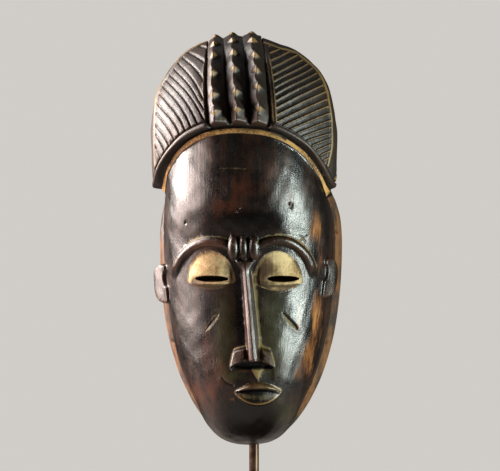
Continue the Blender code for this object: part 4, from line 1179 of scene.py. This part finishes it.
for ground, name, broken_by, share, low, high, strength, top in LAYERS:
    amount = node(tree, "ShaderNodeAttribute", attribute_name=name).outputs["Fac"]
    if broken_by:
        amount = node(tree, "ShaderNodeMath", {0: noise[broken_by], 1: share, 2: amount},
                      operation="MULTIPLY_ADD").outputs[0]
        amount = node(tree, "ShaderNodeMapRange", {"Value": amount, "From Min": low, "From Max": high},
                      interpolation_type="SMOOTHSTEP").outputs[0]
    cover[name] = amount
    part = node(tree, "ShaderNodeMath", {0: amount, 1: strength}, operation="MULTIPLY").outputs[0]
    over = linear(top) if top.startswith("#") else colour[top]
    colour[ground] = node(tree, "ShaderNodeMix", {0: part, 6: colour[ground], 7: over},
                          data_type="RGBA").outputs[2]
tree.links.new(colour["wood"], shader.inputs["Base Color"])
print(len(LAYERS), "layers laid")

# %% [markdown]
# ### How the wood catches light
#
# Oiled wood is glossy where hands polish it and a little duller in clouds. The painted shade on the low
# forehead and the chin is glossiest, the cut hair is duller, and clay, dust and bare wood are matt. A fine
# bump of grain, streaks and speckles breaks the lights' edges, as the marks of a scraper do on the real
# thing.

# %% Gloss and fine relief
MATT = (("clay", 1.0), ("band", 1.0), ("strip", 1.0), ("hollow", 1.0), ("dust", 0.9))
SHADE_GLOSS, SHADE_SHARE, HAIR_ROUGH, MATT_ROUGH = 0.17, 0.8, 0.50, 0.85
FINE_RELIEF = (("streaks", 0.6), ("speckle", 0.55))
matt = 0.0
for name, share in MATT:
    part = node(tree, "ShaderNodeMath", {0: cover[name], 1: share}, operation="MULTIPLY").outputs[0]
    matt = node(tree, "ShaderNodeMath", {0: matt, 1: part}, operation="MAXIMUM").outputs[0]
shaded = node(tree, "ShaderNodeMath", {0: cover["painted_shade"], 1: SHADE_SHARE}, operation="MULTIPLY").outputs[0]
rough = node(tree, "ShaderNodeMapRange", {"Value": noise["haze"], "From Min": 0.85, "From Max": 1.4,
                                          "To Min": 0.22, "To Max": 0.42}).outputs[0]
for share, value in ((shaded, SHADE_GLOSS), (cover["hair"], HAIR_ROUGH), (matt, MATT_ROUGH)):
    rough = node(tree, "ShaderNodeMix", {0: share, 2: rough, 3: value}, data_type="FLOAT").outputs[0]
tree.links.new(rough, shader.inputs["Roughness"])
shader.inputs["IOR"].default_value = 1.5
pits = node(tree, "ShaderNodeTexVoronoi", {"Vector": spot, "Scale": 230}).outputs["Distance"]
noise["pores"] = node(tree, "ShaderNodeMapRange", {"Value": pits, "From Min": 0.0, "From Max": 0.12},
                      interpolation_type="SMOOTHSTEP").outputs[0]
height = node(tree, "ShaderNodeMath", {0: noise["grain"], 1: 0.7}, operation="MULTIPLY").outputs[0]
for name, share in (*FINE_RELIEF, ("pores", 0.15)):
    height = node(tree, "ShaderNodeMath", {0: noise[name], 1: share, 2: height},
                  operation="MULTIPLY_ADD").outputs[0]
bump = node(tree, "ShaderNodeBump", {"Height": height, "Strength": 0.42, "Distance": 0.0006})
tree.links.new(bump.outputs[0], shader.inputs["Normal"])
mask.data.materials.clear()
mask.data.materials.append(patina)
print("patina has", len(tree.nodes), "nodes")

# %% [markdown]
# ## The rod
#
# The stand's rod is one steel bar, bent cold into a hook and left with a brown patina under wax. A curve
# with a round bevel is how a bar is bent in Blender: its few points carry the bend, and its caps close
# the ends. The cross arm that keeps the mask from swinging is brazed on, so a Boolean joins the two.

# %% Bend the rod
ROD_RADIUS, ARM_RADIUS, HOOK_BEND = 0.004, 0.0034, 0.012
BASE_HEIGHT, ROD_SOCKET, ARM_HEIGHT = base_high.z, 0.020, 0.1356
ROD_X, ROD_Y, HOOK_REACH = 0.0025, rod_high.y - ROD_RADIUS, 0.046
BEND_STEPS, ROD_EASE, ARM_EASE, SHARP_TURN = 16, 0.0006, 0.0005, 1.2
rod_top = rod_high.z - ROD_RADIUS
path = [(ROD_X, ROD_Y, rod_low.z), (ROD_X, ROD_Y, rod_top - HOOK_BEND)]
for k in range(1, BEND_STEPS + 1):
    a = math.pi / 2 * k / BEND_STEPS
    path.append((ROD_X, ROD_Y - HOOK_BEND * (1 - math.cos(a)), rod_top - HOOK_BEND * (1 - math.sin(a))))
path.append((ROD_X, ROD_Y - HOOK_REACH, rod_top))
curve = bpy.data.curves.new("hook_rod", "CURVE")
curve.dimensions = "3D"
curve.bevel_depth, curve.bevel_resolution, curve.use_fill_caps = ROD_RADIUS, 10, True
line = curve.splines.new("POLY")
line.points.add(len(path) - 1)
for point, place in zip(line.points, path):
    point.co = (*place, 1)
guide = bpy.data.objects.new("rod path", curve)
bpy.context.scene.collection.objects.link(guide)
bpy.context.view_layer.update()
bent = bpy.data.meshes.new_from_object(guide.evaluated_get(bpy.context.evaluated_depsgraph_get()))
bpy.data.objects.remove(guide)
shape = bmesh.new()
shape.from_mesh(bent)
bmesh.ops.remove_doubles(shape, verts=shape.verts, dist=1e-5)
caps = [edge for edge in shape.edges if edge.calc_face_angle(0) > SHARP_TURN]
bmesh.ops.bevel(shape, geom=caps, offset=ROD_EASE, offset_type="OFFSET", segments=3, profile=0.5,
                affect="EDGES", material=-1)
rod = mesh_object("hook_rod", shape)
arm = bmesh.new()
where = Matrix.Translation((0, ROD_Y - ROD_RADIUS + ARM_RADIUS, CHIN_Z + ARM_HEIGHT)) @ to_x
bmesh.ops.create_cone(arm, cap_ends=True, segments=32, radius1=ARM_RADIUS, radius2=ARM_RADIUS,
                      depth=MASK_WIDTH - SIDE_WALL, matrix=where)
ends = [edge for edge in arm.edges if edge.calc_face_angle(0) > SHARP_TURN]
bmesh.ops.bevel(arm, geom=ends, offset=ARM_EASE, offset_type="OFFSET", segments=2, profile=0.5,
                affect="EDGES", material=-1)
arm_piece = mesh_object("arm", arm)
join = rod.modifiers.new("braze", "BOOLEAN")
join.operation, join.solver, join.object = "UNION", "EXACT", arm_piece
apply_modifiers(rod)
bpy.data.objects.remove(arm_piece)
rod.data.shade_smooth()
rod.data.set_sharp_from_angle(angle=math.radians(40))
print("rod with", len(rod.data.polygons), "faces, top at", round(rod_top, 4))

# %% [markdown]
# ## Browned steel
#
# Bar steel drawn through a die has fine lines along its length. Browning and wax leave it dark, warm
# and half dull, with a sharper light only along the top of the bar.

# %% Browned steel for the rod
steel, tree, shader = finish("browned_steel")
spot = node(tree, "ShaderNodeTexCoord").outputs["Object"]
along = node(tree, "ShaderNodeMapping", {"Vector": spot, "Scale": (1, 1, 0.05)}).outputs[0]
drawn = node(tree, "ShaderNodeTexNoise", {"Vector": along, "Scale": 1400, "Detail": 4}).outputs[0]
cloud = node(tree, "ShaderNodeTexNoise",
             {"Vector": spot, "Scale": 90, "Detail": 6, "Roughness": 0.65}).outputs[0]
mottle = node(tree, "ShaderNodeMath", {0: drawn, 1: 0.4, 2: cloud}, operation="MULTIPLY_ADD").outputs[0]
share = node(tree, "ShaderNodeMapRange", {"Value": mottle, "From Min": 0.55, "From Max": 0.95},
             interpolation_type="SMOOTHSTEP").outputs[0]
brown = node(tree, "ShaderNodeMix", {0: share, 6: linear("#3B2C24"), 7: linear("#6A5646")}, data_type="RGBA")
tree.links.new(brown.outputs[2], shader.inputs["Base Color"])
waxed = node(tree, "ShaderNodeMapRange", {"Value": cloud, "From Min": 0.3, "From Max": 0.7,
                                          "To Min": 0.28, "To Max": 0.5})
tree.links.new(waxed.outputs[0], shader.inputs["Roughness"])
shader.inputs["Metallic"].default_value = 1.0
lines = node(tree, "ShaderNodeMath", {0: drawn, 1: 0.6}, operation="MULTIPLY").outputs[0]
height = node(tree, "ShaderNodeMath", {0: cloud, 1: 0.4, 2: lines}, operation="MULTIPLY_ADD").outputs[0]
bump = node(tree, "ShaderNodeBump", {"Height": height, "Strength": 0.35, "Distance": 0.0002})
tree.links.new(bump.outputs[0], shader.inputs["Normal"])
rod.data.materials.clear()
rod.data.materials.append(steel)
print("rod finished in", steel.name)

# %% [markdown]
# ## The block
#
# The foot of the stand is out of the picture. A hardwood block with eased edges, stained black and
# rubbed with satin oil, is what such a rod usually stands in. A cube, scaled and bevelled, is that block.

# %% Saw and ease the block
BASE_BEVEL, SOCKET_PLAY = 0.0022, 0.0003
shape = bmesh.new()
bmesh.ops.create_cube(shape, size=1)
size = base_high - base_low
bmesh.ops.scale(shape, vec=size, verts=shape.verts)
bmesh.ops.translate(shape, vec=(base_high + base_low) / 2, verts=shape.verts)
bmesh.ops.bevel(shape, geom=list(shape.edges), offset=BASE_BEVEL, offset_type="OFFSET", segments=5,
                profile=0.5, affect="EDGES", material=-1)
block = mesh_object("black_block", shape)
bore = bmesh.new()
bore_radius = ROD_RADIUS + SOCKET_PLAY
bmesh.ops.create_cone(bore, cap_ends=True, segments=48, radius1=bore_radius, radius2=bore_radius,
                      depth=2 * (ROD_SOCKET + SOCKET_PLAY),
                      matrix=Matrix.Translation((ROD_X, ROD_Y, BASE_HEIGHT)))
cutter = mesh_object("bore", bore)
drill = block.modifiers.new("socket", "BOOLEAN")
drill.operation, drill.solver, drill.object = "DIFFERENCE", "EXACT", cutter
apply_modifiers(block)
bpy.data.objects.remove(cutter)
block.data.shade_smooth()
block.data.set_sharp_from_angle(angle=math.radians(35))
print("block", [round(v, 4) for v in size])

# %% [markdown]
# ## Black-stained hardwood
#
# Stain darkens wood but leaves its grain in sight, and satin oil keeps the surface half dull. The grain
# runs along the block's width, as a joiner would cut it.

# %% Black-stained hardwood for the block
black, tree, shader = finish("black_stained_hardwood")
spot = node(tree, "ShaderNodeTexCoord").outputs["Object"]
along = node(tree, "ShaderNodeMapping", {"Vector": spot, "Scale": (0.06, 1, 1)}).outputs[0]
grain = node(tree, "ShaderNodeTexNoise",
             {"Vector": along, "Scale": 520, "Detail": 6, "Roughness": 0.6}).outputs[0]
cloud = node(tree, "ShaderNodeTexNoise", {"Vector": spot, "Scale": 30, "Detail": 5}).outputs[0]
figure = node(tree, "ShaderNodeMath", {0: cloud, 1: 0.5, 2: grain}, operation="MULTIPLY_ADD").outputs[0]
share = node(tree, "ShaderNodeMapRange", {"Value": figure, "From Min": 0.6, "From Max": 1.05},
             interpolation_type="SMOOTHSTEP").outputs[0]
stain = node(tree, "ShaderNodeMix", {0: share, 6: linear("#0D0C0B"), 7: linear("#2A241F")}, data_type="RGBA")
tree.links.new(stain.outputs[2], shader.inputs["Base Color"])
sheen = node(tree, "ShaderNodeMath", {0: cloud, 1: 0.7, 2: grain}, operation="MULTIPLY_ADD").outputs[0]
oiled = node(tree, "ShaderNodeMapRange", {"Value": sheen, "From Min": 0.5, "From Max": 1.2,
                                          "To Min": 0.42, "To Max": 0.62})
tree.links.new(oiled.outputs[0], shader.inputs["Roughness"])
shader.inputs["Specular IOR Level"].default_value = 0.35
bump = node(tree, "ShaderNodeBump", {"Height": grain, "Strength": 0.4, "Distance": 0.0003})
tree.links.new(bump.outputs[0], shader.inputs["Normal"])
block.data.materials.clear()
block.data.materials.append(black)
print("block finished in", black.name)

# %% [markdown]
# ## Hand the pieces to the frame
#
# Each fine piece stands for one solid of the frame and moves with the same body.

# %% Replace the plain solids
PIECES = (  # the fine piece, the solid that it stands for and its material slot
    (mask, "mask", "carved_wood"),
    (rod, "stand_rod", "rod_steel"),
    (block, "stand_base", "base_wood"),
)
for piece, solid, slot in PIECES:
    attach(piece, "root")
    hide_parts(solid)
    triangles = sum(len(face.vertices) - 2 for face in piece.data.polygons)
    print(piece.name, "stands for", solid, "with", triangles, "triangles")

# %% [markdown]
# ## Floor and light
#
# A plain pale floor and soft lights, as in a small studio. Polished dark wood shows its surroundings more
# than itself, so each light is placed for the reflection it makes. Three soft boxes at the left give the
# broad warm light down the forehead, the cheek and the left lobe of the hair. A narrow, cooler one at the
# right, low and in front, draws the light down the right cheek. One overhead is very weak. The room
# around them is kept dim, and the floor is small, so that the chin and the shadows under the nose stay
# dark; only the plain backdrop behind the picture is pale. The floor's paper hardly shines, or it would
# glare under the left lights when seen from the right.

# %% Floor
FLOOR_RADIUS = 0.40
shape = bmesh.new()
bmesh.ops.create_circle(shape, cap_ends=True, segments=96, radius=FLOOR_RADIUS)
floor = mesh_object("floor", shape, turn_out=False)
pale, tree, shader = finish("pale_paper")
spot = node(tree, "ShaderNodeTexCoord").outputs["Object"]
cloud = node(tree, "ShaderNodeTexNoise", {"Vector": spot, "Scale": 3, "Detail": 3}).outputs[0]
paper = node(tree, "ShaderNodeMix", {0: cloud, 6: linear("#787571"), 7: linear("#7F7C78")}, data_type="RGBA")
tree.links.new(paper.outputs[2], shader.inputs["Base Color"])
shader.inputs["Roughness"].default_value = 0.9
shader.inputs["Specular IOR Level"].default_value = 0.1
floor.data.materials.append(pale)
print("floor laid,", 2 * FLOOR_RADIUS, "m across")


# %% Lights and the room's faint light
def soft_box(name, place, size, power, colour):
    """A square area light at a place round the mask's middle, turned to face it."""
    light = bpy.data.lights.new(name, "AREA")
    light.shape, light.size, light.size_y = "RECTANGLE", size[0], size[1]
    light.energy, light.color = power, colour
    lamp = bpy.data.objects.new(name, light)
    lamp.location = aim + Vector(place)
    lamp.rotation_euler = (aim - lamp.location).to_track_quat("-Z", "Y").to_euler()
    bpy.context.scene.collection.objects.link(lamp)


SOFT_BOXES = (  # name, place from the mask's middle, width and height in metres, watts, colour
    ("left soft box", (-1.05, 0.06, 0.30), (0.40, 0.6), 44, (1.0, 0.92, 0.87)),
    ("low left soft box", (-1.0, -0.22, 0.0), (0.8, 0.46), 20, (1.0, 0.80, 0.73)),
    ("high left soft box", (-0.85, -0.05, 0.85), (0.3, 0.3), 13, (1.0, 0.94, 0.90)),
    ("right soft box", (1.06, -0.46, -0.22), (0.13, 0.44), 24, (0.88, 1.0, 0.93)),
    ("overhead soft box", (0.0, 0.1, 1.7), (0.9, 0.9), 3, (1.0, 0.98, 0.96)),
)
for box in SOFT_BOXES:
    soft_box(*box)
ROOM_GLOW = 0.06
world = bpy.data.worlds.new("studio")
world.use_nodes = True
sky = world.node_tree
room = sky.nodes["Background"]
room.inputs[0].default_value, room.inputs[1].default_value = linear("#C9C6C2"), ROOM_GLOW
backdrop = node(sky, "ShaderNodeBackground", {0: linear("#D0CDC8"), 1: 1.0})
seen_part = node(sky, "ShaderNodeLightPath").outputs["Is Camera Ray"]
both = node(sky, "ShaderNodeMixShader", {0: seen_part, 1: room.outputs[0], 2: backdrop.outputs[0]})
sky.links.new(both.outputs[0], sky.nodes["World Output"].inputs[0])
bpy.context.scene.world = world
bpy.context.scene.view_settings.view_transform = "Standard"
